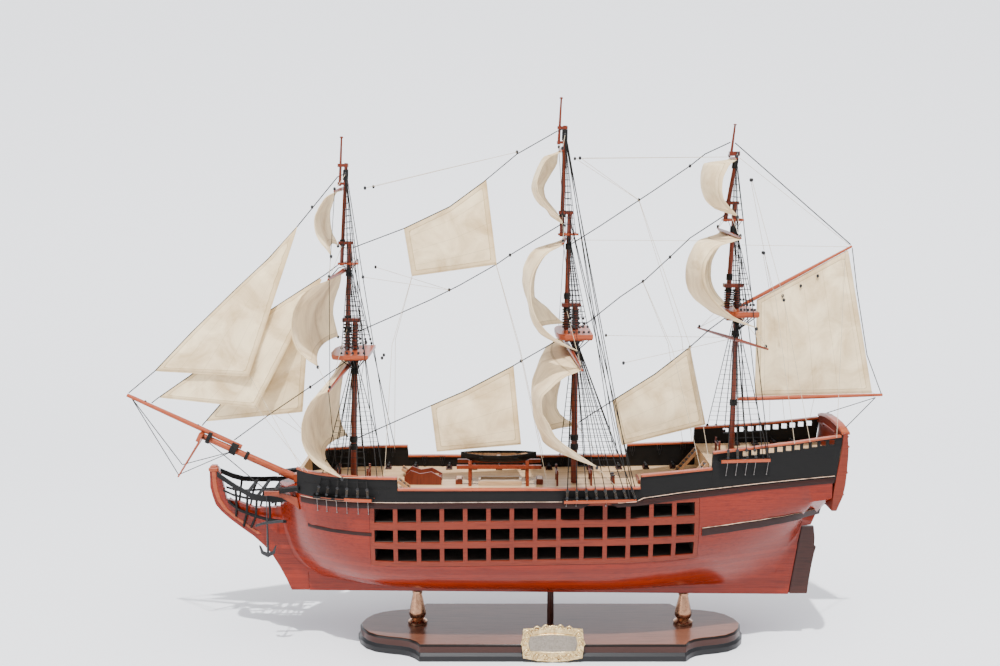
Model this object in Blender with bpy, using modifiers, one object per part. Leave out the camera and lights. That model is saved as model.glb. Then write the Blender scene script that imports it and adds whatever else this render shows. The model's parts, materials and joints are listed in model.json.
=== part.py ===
"""Display model of a three-masted sailing ship on a moulded plinth.

Lengths are in millimetres until they become mesh coordinates.  The origin is
the middle of the plinth's underside, the bow points to -X, the port side is
-Y and +Z is up.
"""
import math

import bmesh
import bpy
from mathutils import Matrix, Vector

MM = 0.001
GAP = 0.3

# plinth and its two turned pedestals
PLINTH_THICKNESS = 18.0
PLINTH_LIP = 3.5
PEDESTAL_X = 145.0
ROD_RADIUS = 3.6
PLATE_WIDTH = 62.0
PLATE_HEIGHT = 38.0
PLATE_THICKNESS = 2.4

# keel, sternpost and rudder
KEEL_HALF_THICKNESS = 3.0
KEEL_SLAB_HALF = 3.4
KEEL_FORE_X = -262.0
POST_FOOT = (257.9, 52.2)
POST_HEAD = (266.3, 107.5)
RUDDER_HALF_THICKNESS = 2.0
RUDDER_GAP = 0.5

# topsides
BULWARK_THICKNESS = 3.0
CAP_OVERHANG = 1.0
CAP_THICKNESS = 2.0
DECK_THICKNESS = 2.0
BULWARK_FORE_X = -266.0
FORECASTLE_STEP_X = -159.0
QUARTER_STEP_X = 88.0
POOP_STEP_X = 162.0

# open bays in the ship's side
BAY_COUNT = 14
BAY_FORE_X = -183.0
BAY_PITCH = 23.71
BAY_CLEAR = 19.2
BAY_SLOPE = 5.3 / 332.0
BAY_ROWS = ((152.8, 167.5), (131.8, 145.3), (110.8, 125.2))
BAY_FRAME_LOW = 105.6
BAY_FRAME_HIGH = 173.0
BAY_FRAME_THICKNESS = 3.0
BAY_INNER_Y = 26.0

SAIL_THICKNESS = 0.9
STAY_RADIUS = 0.55

# x, half breadth at the rail, greatest half breadth, its height,
# fullness p, fullness q, underside of the body on the centre line
STATIONS = (
    (-291.0, 3.2, 3.2, 165.0, 1.0, 1.0, 134.0),
    (-286.0, 13.0, 12.5, 168.0, 1.0, 0.9, 110.0),
    (-278.0, 26.0, 26.0, 169.0, 1.1, 0.85, 93.0),
    (-266.0, 41.0, 41.5, 169.0, 1.3, 0.80, 81.5),
    (-250.0, 52.0, 53.5, 166.0, 1.6, 0.70, 73.5),
    (-227.0, 61.5, 63.5, 161.0, 2.0, 0.60, 69.0),
    (-200.0, 68.0, 70.0, 154.0, 2.4, 0.50, 67.0),
    (-170.0, 71.5, 73.2, 147.0, 2.8, 0.44, 66.0),
    (-120.0, 72.3, 74.2, 140.0, 3.0, 0.40, 65.5),
    (-60.0, 71.8, 73.8, 138.0, 3.0, 0.40, 64.8),
    (0.0, 71.2, 73.2, 138.0, 3.0, 0.40, 64.0),
    (60.0, 70.3, 72.3, 139.0, 2.9, 0.42, 63.0),
    (100.0, 68.0, 70.2, 142.0, 2.6, 0.50, 62.5),
    (140.0, 63.0, 65.4, 148.0, 2.2, 0.65, 62.0),
    (180.0, 57.3, 59.8, 155.0, 1.8, 0.95, 61.5),
    (215.0, 53.3, 55.5, 161.0, 1.5, 1.40, 61.0),
    (240.0, 50.8, 52.6, 165.0, 1.3, 1.90, 63.0),
    (255.0, 49.3, 50.9, 167.0, 1.2, 2.20, 75.0),
    (264.0, 48.5, 50.0, 168.0, 1.2, 2.00, 98.0),
    (270.0, 48.0, 49.3, 169.0, 1.1, 1.50, 128.6),
    (280.0, 47.2, 48.3, 170.0, 1.0, 1.00, 130.0),
    (289.0, 46.5, 47.4, 172.0, 1.0, 0.80, 151.0),
)

# x, top of the hull body (underside of the deck planks)
DECK_LINE = (
    (-291.0, 177.0),
    (-266.0, 176.0),
    (-200.0, 174.5),
    (-100.0, 173.4),
    (0.0, 173.2),
    (100.0, 175.0),
    (162.0, 178.5),
    (220.0, 183.0),
    (300.0, 191.0),
)

# x, top of the cap rail
RAIL_LINE = (
    (-270.0, 203.0),
    (-250.0, 201.0),
    (-200.0, 200.0),
    (FORECASTLE_STEP_X - 0.4, 200.0),
    (FORECASTLE_STEP_X + 0.4, 188.5),
    (0.0, 188.5),
    (QUARTER_STEP_X - 0.4, 189.5),
    (QUARTER_STEP_X + 0.4, 202.0),
    (POOP_STEP_X - 0.4, 207.0),
    (POOP_STEP_X + 0.4, 223.5),
    (200.0, 227.0),
    (250.0, 232.0),
    (300.0, 238.5),
)

# z, forward face and after face of the raked stern board
STERN_PROFILE = (
    (157.6, 289.5, 294.8),
    (165.7, 289.8, 297.6),
    (173.1, 290.1, 300.4),
    (185.9, 291.7, 302.7),
    (201.9, 294.1, 304.0),
    (212.5, 295.8, 304.5),
    (223.0, 297.4, 304.6),
    (233.6, 298.0, 303.6),
    (246.0, 298.6, 302.6),
)

for old in list(bpy.data.objects):
    bpy.data.objects.remove(old, do_unlink=True)


def new_collection(name):
    made = bpy.data.collections.new(name)
    bpy.context.scene.collection.children.link(made)
    return made


MODEL = new_collection("three_masted_ship_model")
CUTTERS = new_collection("joined_and_cutting_shapes")


def material(name, colour, roughness, metallic=0.0):
    made = bpy.data.materials.new(name)
    made.use_nodes = True
    shader = made.node_tree.nodes["Principled BSDF"]
    shader.inputs["Base Color"].default_value = (*colour, 1.0)
    shader.inputs["Roughness"].default_value = roughness
    shader.inputs["Metallic"].default_value = metallic
    made.diffuse_color = (*colour, 1.0)
    return made


LOOKS = {
    "hull_wood": ((0.50, 0.09, 0.035), 0.25, 0.0),
    "black_paint": ((0.012, 0.012, 0.012), 0.35, 0.0),
    "dark_wood": ((0.09, 0.018, 0.012), 0.3, 0.0),
    "mast_wood": ((0.17, 0.035, 0.022), 0.35, 0.0),
    "spar_wood": ((0.36, 0.085, 0.035), 0.35, 0.0),
    "deck_wood": ((0.70, 0.42, 0.22), 0.5, 0.0),
    "canvas": ((0.80, 0.70, 0.52), 0.9, 0.0),
    "plinth_wood": ((0.085, 0.03, 0.022), 0.25, 0.0),
    "brass": ((0.78, 0.50, 0.34), 0.25, 1.0),
    "gold": ((0.80, 0.60, 0.28), 0.35, 1.0),
    "iron": ((0.02, 0.02, 0.02), 0.5, 0.3),
}


def place(name, mesh, look, cutter=False):
    obj = bpy.data.objects.new(name, mesh)
    if cutter:
        CUTTERS.objects.link(obj)
        obj.hide_render = True
        obj.display_type = "WIRE"
    else:
        MODEL.objects.link(obj)
        mesh.materials.append(material(name + "_look", *LOOKS[look]))
    return obj


def from_bmesh(name, shape, look, cutter=False):
    bmesh.ops.recalc_face_normals(shape, faces=shape.faces[:])
    mesh = bpy.data.meshes.new(name)
    shape.to_mesh(mesh)
    shape.free()
    return place(name, mesh, look, cutter)


def point(x, y, z):
    return Vector((x * MM, y * MM, z * MM))


def table_value(table, x, column=1):
    """Straight-line reading of one column of a table sorted by its first."""
    if x <= table[0][0]:
        return table[0][column]
    for low, high in zip(table, table[1:]):
        if x <= high[0]:
            part = (x - low[0]) / (high[0] - low[0])
            return low[column] + part * (high[column] - low[column])
    return table[-1][column]


def smooth_value(table, x, column):
    """Monotone cubic reading of one column of a table sorted by its first."""
    count = len(table)
    if x <= table[0][0]:
        return table[0][column]
    if x >= table[-1][0]:
        return table[-1][column]
    k = 0
    while k < count - 2 and x > table[k + 1][0]:
        k += 1

    def slope(i):
        return (table[i + 1][column] - table[i][column]) / (table[i + 1][0] - table[i][0])

    def tangent(i):
        if i == 0:
            return slope(0)
        if i == count - 1:
            return slope(count - 2)
        before, after = slope(i - 1), slope(i)
        if before * after <= 0.0:
            return 0.0
        return 2.0 * before * after / (before + after)

    step = table[k + 1][0] - table[k][0]
    t = (x - table[k][0]) / step
    a, b = table[k][column], table[k + 1][column]
    ta, tb = tangent(k) * step, tangent(k + 1) * step
    return (
        a * (2 * t ** 3 - 3 * t ** 2 + 1)
        + ta * (t ** 3 - 2 * t ** 2 + t)
        + b * (3 * t ** 2 - 2 * t ** 3)
        + tb * (t ** 3 - t ** 2)
    )


def station(x):
    return [smooth_value(STATIONS, x, column) for column in range(1, 7)]


def side(x, z):
    """Half breadth of the ship's outer surface at a length and a height."""
    rail, wide, wide_z, p, q, foot = station(x)
    if z >= wide_z:
        part = min(1.0, (z - wide_z) / (195.0 - wide_z))
        return wide + (rail - wide) * part ** 1.5
    depth = min(1.0, max(0.0, (wide_z - z) / (wide_z - foot)))
    return max(KEEL_HALF_THICKNESS, wide * (1.0 - depth ** p) ** q)


def deck_under(x):
    return smooth_value(DECK_LINE, x, 1)


def rail_top(x):
    return table_value(RAIL_LINE, x)


def stern_inner(z):
    return table_value(STERN_PROFILE, z)


def box(name, low, high, look="hull_wood", cutter=False, matrix=None):
    shape = bmesh.new()
    bmesh.ops.create_cube(shape, size=1.0)
    size = [high[i] - low[i] for i in range(3)]
    middle = [(high[i] + low[i]) / 2.0 for i in range(3)]
    bmesh.ops.scale(shape, vec=Vector(size) * MM, verts=shape.verts)
    bmesh.ops.translate(shape, vec=Vector(middle) * MM, verts=shape.verts)
    if matrix is not None:
        bmesh.ops.transform(shape, matrix=matrix, verts=shape.verts)
    return from_bmesh(name, shape, look, cutter)


def boxes(name, spans, look="hull_wood", cutter=False):
    """Several boxes that don't touch each other, in one mesh."""
    shape = bmesh.new()
    for low, high in spans:
        made = bmesh.ops.create_cube(shape, size=1.0)["verts"]
        size = Vector([high[i] - low[i] for i in range(3)])
        middle = Vector([(high[i] + low[i]) / 2.0 for i in range(3)])
        bmesh.ops.scale(shape, vec=size * MM, verts=made)
        bmesh.ops.translate(shape, vec=middle * MM, verts=made)
    return from_bmesh(name, shape, look, cutter)


def along(start, end):
    """Matrix that lays local +Z from start towards end."""
    a, b = point(*start), point(*end)
    turn = (b - a).to_track_quat("Z", "Y").to_matrix().to_4x4()
    return Matrix.Translation(a) @ turn


def turned(name, start, end, profile, look, cutter=False, steps=12):
    """Turned piece between two points; profile rows are part of length, radius."""
    length = (point(*end) - point(*start)).length
    rows = sorted(profile, reverse=True)
    points = [(0.0, 0.0, rows[0][0] * length)]
    points += [(radius * MM, 0.0, part * length) for part, radius in rows]
    points.append((0.0, 0.0, rows[-1][0] * length))
    mesh = bpy.data.meshes.new(name)
    mesh.from_pydata(points, [(i, i + 1) for i in range(len(points) - 1)], [])
    obj = place(name, mesh, look, cutter)
    obj.matrix_world = along(start, end)
    screw = obj.modifiers.new("turn", "SCREW")
    screw.angle = math.tau
    screw.steps = steps
    screw.render_steps = steps
    screw.use_merge_vertices = True
    screw.merge_threshold = 0.00001
    return obj


def outline(name, points, low_y, high_y, look, cutter=False):
    """Flat shape drawn in X and Z, thick from low_y to high_y."""
    curve = bpy.data.curves.new(name, "CURVE")
    curve.dimensions = "2D"
    curve.fill_mode = "BOTH"
    curve.extrude = (high_y - low_y) / 2.0 * MM
    spline = curve.splines.new("POLY")
    spline.points.add(len(points) - 1)
    for target, (x, z) in zip(spline.points, points):
        target.co = (x * MM, z * MM, 0.0, 1.0)
    spline.use_cyclic_u = True
    source = bpy.data.objects.new(name + "_curve", curve)
    CUTTERS.objects.link(source)
    bpy.context.view_layer.update()
    graph = bpy.context.evaluated_depsgraph_get()
    mesh = bpy.data.meshes.new_from_object(source.evaluated_get(graph))
    bpy.data.objects.remove(source, do_unlink=True)
    shape = bmesh.new()
    shape.from_mesh(mesh)
    bmesh.ops.remove_doubles(shape, verts=shape.verts, dist=0.000005)
    stand = Matrix.Translation((0.0, (low_y + high_y) / 2.0 * MM, 0.0))
    stand = stand @ Matrix.Rotation(math.radians(90.0), 4, "X")
    bmesh.ops.transform(shape, matrix=stand, verts=shape.verts)
    return from_bmesh(name, shape, look, cutter)


def loft(name, rings, look, cutter=False):
    """Skin over closed rings of equal count, with both ends closed."""
    shape = bmesh.new()
    made = [[shape.verts.new(point(*p)) for p in ring] for ring in rings]
    for first, second in zip(made, made[1:]):
        count = len(first)
        for i in range(count):
            j = (i + 1) % count
            shape.faces.new((first[i], first[j], second[j], second[i]))
    shape.faces.new(made[0])
    shape.faces.new(made[-1])
    return from_bmesh(name, shape, look, cutter)


def join(target, *pieces):
    for number, piece in enumerate(pieces):
        step = target.modifiers.new("join_%d" % number, "BOOLEAN")
        step.operation = "UNION"
        step.solver = "EXACT"
        step.object = piece
    return target


def cut(target, *pieces):
    for number, piece in enumerate(pieces):
        step = target.modifiers.new("cut_%d" % number, "BOOLEAN")
        step.operation = "DIFFERENCE"
        step.solver = "EXACT"
        step.object = piece
    return target


def steps_between(low, high, count):
    return [low + (high - low) * i / count for i in range(count + 1)]


def mirror_y(points):
    return [(x, -y, z) for x, y, z in points]


# Stand
PLINTH_HALF = (
    (0.0, 58.5),
    (139.0, 58.5),
    (143.0, 51.0),
    (150.0, 45.0),
    (160.0, 41.0),
    (173.0, 38.0),
    (186.0, 33.5),
    (196.0, 25.5),
    (203.0, 14.0),
    (206.5, 0.0),
)


def plinth_ring(height, grow):
    quarter = []
    last = len(PLINTH_HALF) - 1
    for i, (x, y) in enumerate(PLINTH_HALF):
        before = PLINTH_HALF[max(0, i - 1)]
        after = PLINTH_HALF[min(last, i + 1)]
        dx, dy = after[0] - before[0], after[1] - before[1]
        if i == last:
            dx, dy = 0.0, -1.0
        length = math.hypot(dx, dy)
        quarter.append((x - dy / length * grow, y + dx / length * grow))
    ring = [(x, y, height) for x, y in quarter]
    ring += [(x, -y, height) for x, y in reversed(quarter[1:-1])]
    ring += [(-x, -y, height) for x, y in quarter[:1]]
    ring += [(-x, -y, height) for x, y in quarter[1:]]
    ring += [(-x, y, height) for x, y in reversed(quarter[1:-1])]
    return ring


def build_stand():
    rings = [
        plinth_ring(0.0, PLINTH_LIP),
        plinth_ring(6.0, PLINTH_LIP),
        plinth_ring(9.0, 1.2),
        plinth_ring(15.5, 1.2),
        plinth_ring(PLINTH_THICKNESS, 0.0),
    ]
    loft("base_board", rings, "plinth_wood")
    vase = ((0.0, 10.5), (0.07, 10.5), (0.10, 9.0), (0.14, 6.8), (0.20, 8.0), (0.28, 9.3),
            (0.38, 9.0), (0.85, 5.4), (0.93, 4.9), (0.94, 5.6), (1.0, 5.6))
    for name, x in (("fore_pedestal", -PEDESTAL_X), ("aft_pedestal", PEDESTAL_X)):
        foot = (x, 0.0, PLINTH_THICKNESS + GAP)
        head = (x, 0.0, keel_bottom(x - 5.6) - 0.35 if x > 0 else keel_bottom(x + 5.6) - 0.35)
        turned(name, foot, head, vase, "brass", steps=16)
    top = keel_bottom(ROD_RADIUS) - 0.35
    turned("centre_rod", (0.0, 0.0, PLINTH_THICKNESS + GAP), (0.0, 0.0, top),
           ((0.0, ROD_RADIUS), (1.0, ROD_RADIUS)), "dark_wood", steps=12)
    front = -(58.5 + PLINTH_LIP + GAP)
    half = PLATE_WIDTH / 2.0
    edge = [(-half, 5.0), (-half * 0.45, 2.0), (0.0, 1.0), (half * 0.45, 2.0), (half, 5.0)]
    edge += [(half + 1.5, 20.0), (half, PLATE_HEIGHT - 1.0), (half * 0.4, PLATE_HEIGHT)]
    edge += [(0.0, PLATE_HEIGHT + 3.0), (-half * 0.4, PLATE_HEIGHT)]
    edge += [(-half, PLATE_HEIGHT - 1.0), (-half - 1.5, 20.0)]
    outline("name_plate", edge, front - PLATE_THICKNESS, front, "gold")


def keel_bottom(x):
    return 56.6 + (POST_FOOT[1] - 56.6) * (x - KEEL_FORE_X) / (POST_FOOT[0] - KEEL_FORE_X)


# Hull
BODY_PARTS = (0.0, 0.03, 0.10, 0.22, 0.38, 0.56, 0.78, 1.0)


def hull_ring(x, rake=False):
    rail, wide, wide_z, p, q, foot = station(x)
    top = deck_under(x)
    half = [(x, KEEL_HALF_THICKNESS, foot)]
    for part in BODY_PARTS[1:]:
        z = foot + (wide_z - foot) * part
        half.append((x, side(x, z), z))
    half.append((x, side(x, top), top))
    if rake:
        half = [(min(x, stern_inner(z) - GAP), y, z) for _, y, z in half]
    return half + mirror_y(reversed(half))


def side_ring(x, low, high, out, inn, rows=4):
    heights = steps_between(low, high, rows - 1)
    ring = [(x, -(side(x, z) + out), z) for z in heights]
    return ring + [(x, -(side(x, z) - inn), z) for z in reversed(heights)]


def flip(points, sign):
    return [(x, y * sign, z) for x, y, z in points]


def bay_rise(x):
    return (x - BAY_FORE_X) * BAY_SLOPE


BAY_EDGE = 4.5
BAY_AFT_X = BAY_FORE_X + BAY_COUNT * BAY_PITCH - (BAY_PITCH - BAY_CLEAR)


def bay_lengths(fore, aft, count=14):
    return steps_between(fore, aft, count)


def build_hull():
    lengths = [row[0] for row in STATIONS]
    body = loft("hull", [hull_ring(x, rake=x > 285.0) for x in lengths], "hull_wood")
    keel = [
        (KEEL_FORE_X, 56.6),
        POST_FOOT,
        POST_HEAD,
        (262.0, 112.0),
        (254.0, 96.0),
        (243.0, 76.0),
        (200.0, 71.0),
        (0.0, 71.0),
        (-220.0, 76.0),
        (KEEL_FORE_X, 92.0),
    ]
    slab = outline("keel_slab", keel, -KEEL_SLAB_HALF, KEEL_SLAB_HALF, "hull_wood",
                   cutter=True)
    join(body, slab)
    fore, aft = BAY_FORE_X - BAY_EDGE, BAY_AFT_X + BAY_EDGE
    for label, sign in (("port", 1.0), ("starboard", -1.0)):
        seat = []
        for x in bay_lengths(fore - GAP, aft + GAP):
            low = BAY_FRAME_LOW + bay_rise(x) - GAP
            high = BAY_FRAME_HIGH + bay_rise(x) + GAP
            if high > deck_under(x) - 1.0:
                high = deck_under(x) + 1.5
            seat.append(flip(side_ring(x, low, high, 6.0, BAY_FRAME_THICKNESS + GAP), sign))
        cut(body, loft("bay_seat_" + label, seat, "hull_wood", cutter=True))
        for number, (low, high) in enumerate(BAY_ROWS):
            rings = []
            for x in bay_lengths(BAY_FORE_X, BAY_AFT_X, 7):
                z0, z1 = low + bay_rise(x), high + bay_rise(x)
                outer0 = side(x, z0) - BAY_FRAME_THICKNESS + 1.0
                outer1 = side(x, z1) - BAY_FRAME_THICKNESS + 1.0
                ring = [(x, -BAY_INNER_Y, z0), (x, -outer0, z0)]
                ring += [(x, -outer1, z1), (x, -BAY_INNER_Y, z1)]
                rings.append(flip(ring, sign))
            name = "bay_row_%d_%s" % (number, label)
            cut(body, loft(name, rings, "hull_wood", cutter=True))
        build_bay_frame(label, sign, fore, aft)


def build_bay_frame(label, sign, fore, aft):
    rings = []
    for x in bay_lengths(fore, aft):
        low = BAY_FRAME_LOW + bay_rise(x)
        high = min(BAY_FRAME_HIGH + bay_rise(x), deck_under(x) - 0.6)
        rings.append(flip(side_ring(x, low, high, 0.0, BAY_FRAME_THICKNESS), sign))
    frame = loft("bay_frame_" + label, rings, "hull_wood")
    spans = []
    for column in range(BAY_COUNT):
        x = BAY_FORE_X + column * BAY_PITCH
        lift = bay_rise(x + BAY_CLEAR / 2.0)
        for low, high in BAY_ROWS:
            near, far = sorted((-40.0 * sign, -95.0 * sign))
            spans.append(((x, near, low + lift), (x + BAY_CLEAR, far, high + lift)))
    cut(frame, boxes("bay_openings_" + label, spans, cutter=True))


def bulwark_ring(x, sign, rake=False):
    low = deck_under(x) + GAP
    top = rail_top(x)
    under = top - CAP_THICKNESS
    outer_low, outer_top = side(x, low), side(x, under)
    ring = [
        (x, -outer_low, low),
        (x, -outer_top, under),
        (x, -(outer_top + CAP_OVERHANG), under),
        (x, -(outer_top + CAP_OVERHANG), top),
        (x, -(outer_top - BULWARK_THICKNESS - CAP_OVERHANG), top),
        (x, -(outer_top - BULWARK_THICKNESS - CAP_OVERHANG), under),
        (x, -(outer_top - BULWARK_THICKNESS), under),
        (x, -(outer_low - BULWARK_THICKNESS), low),
    ]
    if rake:
        ring = [(stern_inner(z) - GAP, y, z) for _, y, z in ring]
    return flip(ring, sign)


def bulwark_lengths():
    lengths = [-266.0, -258.0, -248.0, -235.0, -220.0, -200.0, -180.0]
    lengths += [FORECASTLE_STEP_X - 0.4, FORECASTLE_STEP_X + 0.4]
    lengths += [-120.0, -60.0, 0.0, 50.0]
    lengths += [QUARTER_STEP_X - 0.4, QUARTER_STEP_X + 0.4, 115.0, 140.0]
    lengths += [POOP_STEP_X - 0.4, POOP_STEP_X + 0.4, 200.0, 225.0, 250.0, 275.0]
    return lengths


CHANNELS = (
    ("fore", -246.0, -183.0, 177.3, 10.0),
    ("main", 8.0, 84.0, 176.6, 10.0),
    ("mizzen", 168.0, 222.0, 214.5, 9.0),
)


# x, underside and top of the beam that carries the anchor
CATHEAD = ((-300.0, 174.0, 178.6), (-264.0, 179.0, 183.2))
RAIL_GAP_FORE_X = 193.5
RAIL_GAP_AFT_X = 284.0
RAIL_GAP_LENGTH = 6.2
RAIL_GAP_COUNT = 11


def build_bulwarks():
    for label, sign in (("port", 1.0), ("starboard", -1.0)):
        rings = [bulwark_ring(x, sign) for x in bulwark_lengths()]
        rings.append(bulwark_ring(296.0, sign, rake=True))
        wall = loft("bulwark_" + label, rings, "black_paint")
        for mast, fore, aft, height, reach in CHANNELS:
            board = []
            for x in steps_between(fore, aft, 3):
                outer = side(x, height + 1.5)
                ring = [
                    (x, -(outer - 1.5), height),
                    (x, -(outer + reach), height),
                    (x, -(outer + reach), height + 2.4),
                    (x, -(outer - 1.5), height + 2.4),
                ]
                board.append(flip(ring, sign))
            name = "%s_channel_%s" % (mast, label)
            join(wall, loft(name, board, "black_paint", cutter=True))
        beam = []
        for x, low, top in CATHEAD:
            ring = [(x, -37.0, low), (x, -45.5, low), (x, -45.5, top), (x, -37.0, top)]
            beam.append(flip(ring, sign))
        join(wall, loft("cathead_" + label, beam, "black_paint", cutter=True))
        near, far = sorted((-40.0 * sign, -70.0 * sign))
        gaps = []
        for x in steps_between(RAIL_GAP_FORE_X, RAIL_GAP_AFT_X, RAIL_GAP_COUNT - 1):
            under = rail_top(x + RAIL_GAP_LENGTH / 2.0) - CAP_THICKNESS
            gaps.append(((x, near, under - 6.6), (x + RAIL_GAP_LENGTH, far, under - 0.9)))
        cut(wall, boxes("rail_gaps_" + label, gaps, cutter=True))


def deck_ring(x, low, thickness, inset, rake=False):
    half = side(x, low + 1.0) - inset
    ring = [(x, -half, low), (x, half, low)]
    ring += [(x, half, low + thickness), (x, -half, low + thickness)]
    if rake:
        ring = [(stern_inner(z) - GAP, y, z) for _, y, z in ring]
    return ring


def poop_level(x):
    return 203.6 + (x - POOP_STEP_X) * 0.045


def build_decks():
    inset = BULWARK_THICKNESS + 0.6
    lengths = [-262.5, -255.0, -245.0, -230.0, -210.0, -185.0, -150.0, -100.0, -40.0, 20.0]
    lengths += [60.0, 90.0, 120.0, 150.0, 180.0, 215.0, 240.0, 264.0, 280.0, 289.0]
    rings = [deck_ring(x, deck_under(x) + GAP, DECK_THICKNESS, inset) for x in lengths]
    rings.append(deck_ring(296.5, deck_under(296.5) + GAP, DECK_THICKNESS, inset, rake=True))
    deck = loft("main_deck", rings, "deck_wood")
    wall = box("beakhead_bulkhead", (-265.6, -36.5, 177.2), (-262.2, 36.5, 198.5), cutter=True)
    join(deck, wall)
    inset = BULWARK_THICKNESS + CAP_OVERHANG + 0.5
    lengths = [POOP_STEP_X + 1.2, 180.0, 205.0, 230.0, 255.0]
    rings = [deck_ring(x, poop_level(x), DECK_THICKNESS, inset) for x in lengths]
    rings.append(deck_ring(292.0, poop_level(292.0), DECK_THICKNESS, inset, rake=True))
    poop = loft("poop_deck", rings, "deck_wood")
    x = POOP_STEP_X + 1.2
    low = deck_under(x) + GAP + DECK_THICKNESS + 0.4
    half = side(x, 190.0) - inset
    front = box("poop_bulkhead", (x, -half, low), (x + 2.5, half, poop_level(x) + 1.0),
                cutter=True)
    join(poop, front)


def build_stern():
    fore = [(row[1], row[0]) for row in STERN_PROFILE]
    aft = [(row[2], row[0]) for row in STERN_PROFILE]
    board = outline("stern_board", fore + aft[::-1], -60.0, 60.0, "black_paint")
    shape = [(-45.6, 157.0), (-47.0, 172.0), (-47.2, 190.0), (-46.6, 205.0), (-47.0, 240.4)]
    shape += [(-36.0, 243.4), (-20.0, 245.4), (0.0, 246.0)]
    half = shape + [(-y, z) for y, z in reversed(shape[:-1])]
    rings = [[(x, y, z) for y, z in half] for x in (285.0, 310.0)]
    rings[0].reverse()
    rings[1].reverse()
    keep = loft("stern_outline", rings, "black_paint", cutter=True)
    step = board.modifiers.new("trim", "BOOLEAN")
    step.operation = "INTERSECT"
    step.solver = "EXACT"
    step.object = keep


def build_head():
    knee = [
        (KEEL_FORE_X - GAP, 56.65),
        (-281.4, 56.7),
        (-286.9, 69.6),
        (-293.7, 83.0),
        (-301.6, 96.6),
        (-309.5, 106.2),
        (-321.0, 117.2),
        (-332.5, 125.7),
        (-346.2, 136.5),
        (-355.3, 145.0),
        (-360.9, 152.2),
        (-364.0, 162.0),
        (-366.3, 172.0),
        (-366.3, 190.0),
        (-361.0, 194.0),
        (-355.5, 188.0),
        (-352.0, 173.0),
        (-349.0, 158.0),
        (-335.0, 155.0),
        (-319.0, 149.0),
        (-305.0, 149.0),
        (-291.6, 150.0),
        (-291.6, 134.0),
        (-287.0, 109.0),
        (-279.0, 91.4),
        (-267.0, 79.8),
        (KEEL_FORE_X - GAP, 77.4),
    ]
    outline("knee_of_head", knee, -KEEL_HALF_THICKNESS, KEEL_HALF_THICKNESS, "hull_wood")
    build_head_rails()


# x, y and z along the middle of each rail
UPPER_RAIL = ((-357.0, 7.5, 187.0), (-345.0, 12.0, 180.2), (-335.0, 17.5, 175.6),
              (-325.0, 25.0, 173.0), (-315.0, 33.5, 170.6), (-305.0, 38.0, 170.0),
              (-292.0, 39.0, 169.0), (-273.0, 37.8, 168.4))
MIDDLE_RAIL = ((-351.0, 6.4, 169.0), (-340.0, 9.6, 164.8), (-325.0, 15.4, 163.0),
               (-305.0, 24.0, 162.6), (-284.0, 27.0, 162.6))
LOWER_RAIL = ((-347.0, 4.8, 156.5), (-335.0, 6.3, 147.5), (-320.0, 8.5, 142.0),
              (-305.0, 11.0, 138.5), (-292.0, 12.5, 137.0), (-283.5, 13.0, 136.5))
# each timber's x at the upper rail, at the lower rail and at its foot, and the foot's z
HEAD_TIMBERS = ((-336.0, -337.5, -339.0, 140.0), (-321.0, -326.5, -331.0, 128.6),
                (-309.0, -316.5, -323.0, 127.5), (-296.0, -301.0, -306.6, 133.0))


def rail_at(table, x, column):
    return table_value(table, x, column)


def build_head_rails():
    """Three swept rails a side, their timbers and three beams, as one grating."""

    def bar(name, table, half_y, half_z, sign):
        rings = []
        for x, y, z in table:
            ring = [(x, y - half_y, z - half_z), (x, y + half_y, z - half_z)]
            ring += [(x, y + half_y, z + half_z), (x, y - half_y, z + half_z)]
            rings.append(flip(ring, sign))
        return loft(name, rings, "black_paint", cutter=True)

    pieces = []
    for label, sign in (("port", -1.0), ("starboard", 1.0)):
        pieces.append(bar("upper_rail_" + label, UPPER_RAIL, 1.2, 2.6, sign))
        pieces.append(bar("middle_rail_" + label, MIDDLE_RAIL, 1.1, 0.9, sign))
        pieces.append(bar("lower_rail_" + label, LOWER_RAIL, 1.2, 1.4, sign))
        for number, (x0, x1, x2, foot_z) in enumerate(HEAD_TIMBERS):
            path = [(x0, rail_at(UPPER_RAIL, x0, 1) * sign, rail_at(UPPER_RAIL, x0, 2))]
            middle = (x0 + x1) / 2.0
            path.append((middle, rail_at(MIDDLE_RAIL, middle, 1) * sign,
                         rail_at(MIDDLE_RAIL, middle, 2)))
            path.append((x1, rail_at(LOWER_RAIL, x1, 1) * sign, rail_at(LOWER_RAIL, x1, 2)))
            path.append((x2, 4.7 * sign, foot_z))
            for step, (top, low) in enumerate(zip(path, path[1:])):
                name = "head_timber_%d_%d_%s" % (number, step, label)
                pieces.append(turned(name, low, top, ((0.0, 1.3), (1.0, 1.3)), "black_paint",
                                     cutter=True, steps=6))
    for number, x in enumerate((-321.0, -309.0)):
        y, z = rail_at(UPPER_RAIL, x, 1), rail_at(UPPER_RAIL, x, 2)
        name = "head_beam_%d" % number
        pieces.append(box(name, (x - 1.3, -y, z - 1.2), (x + 1.3, y, z + 1.2), cutter=True))
    first = box("head_rails", (-297.3, -38.4, 168.1), (-294.7, 38.4, 170.5), "black_paint")
    join(first, *pieces)


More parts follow.
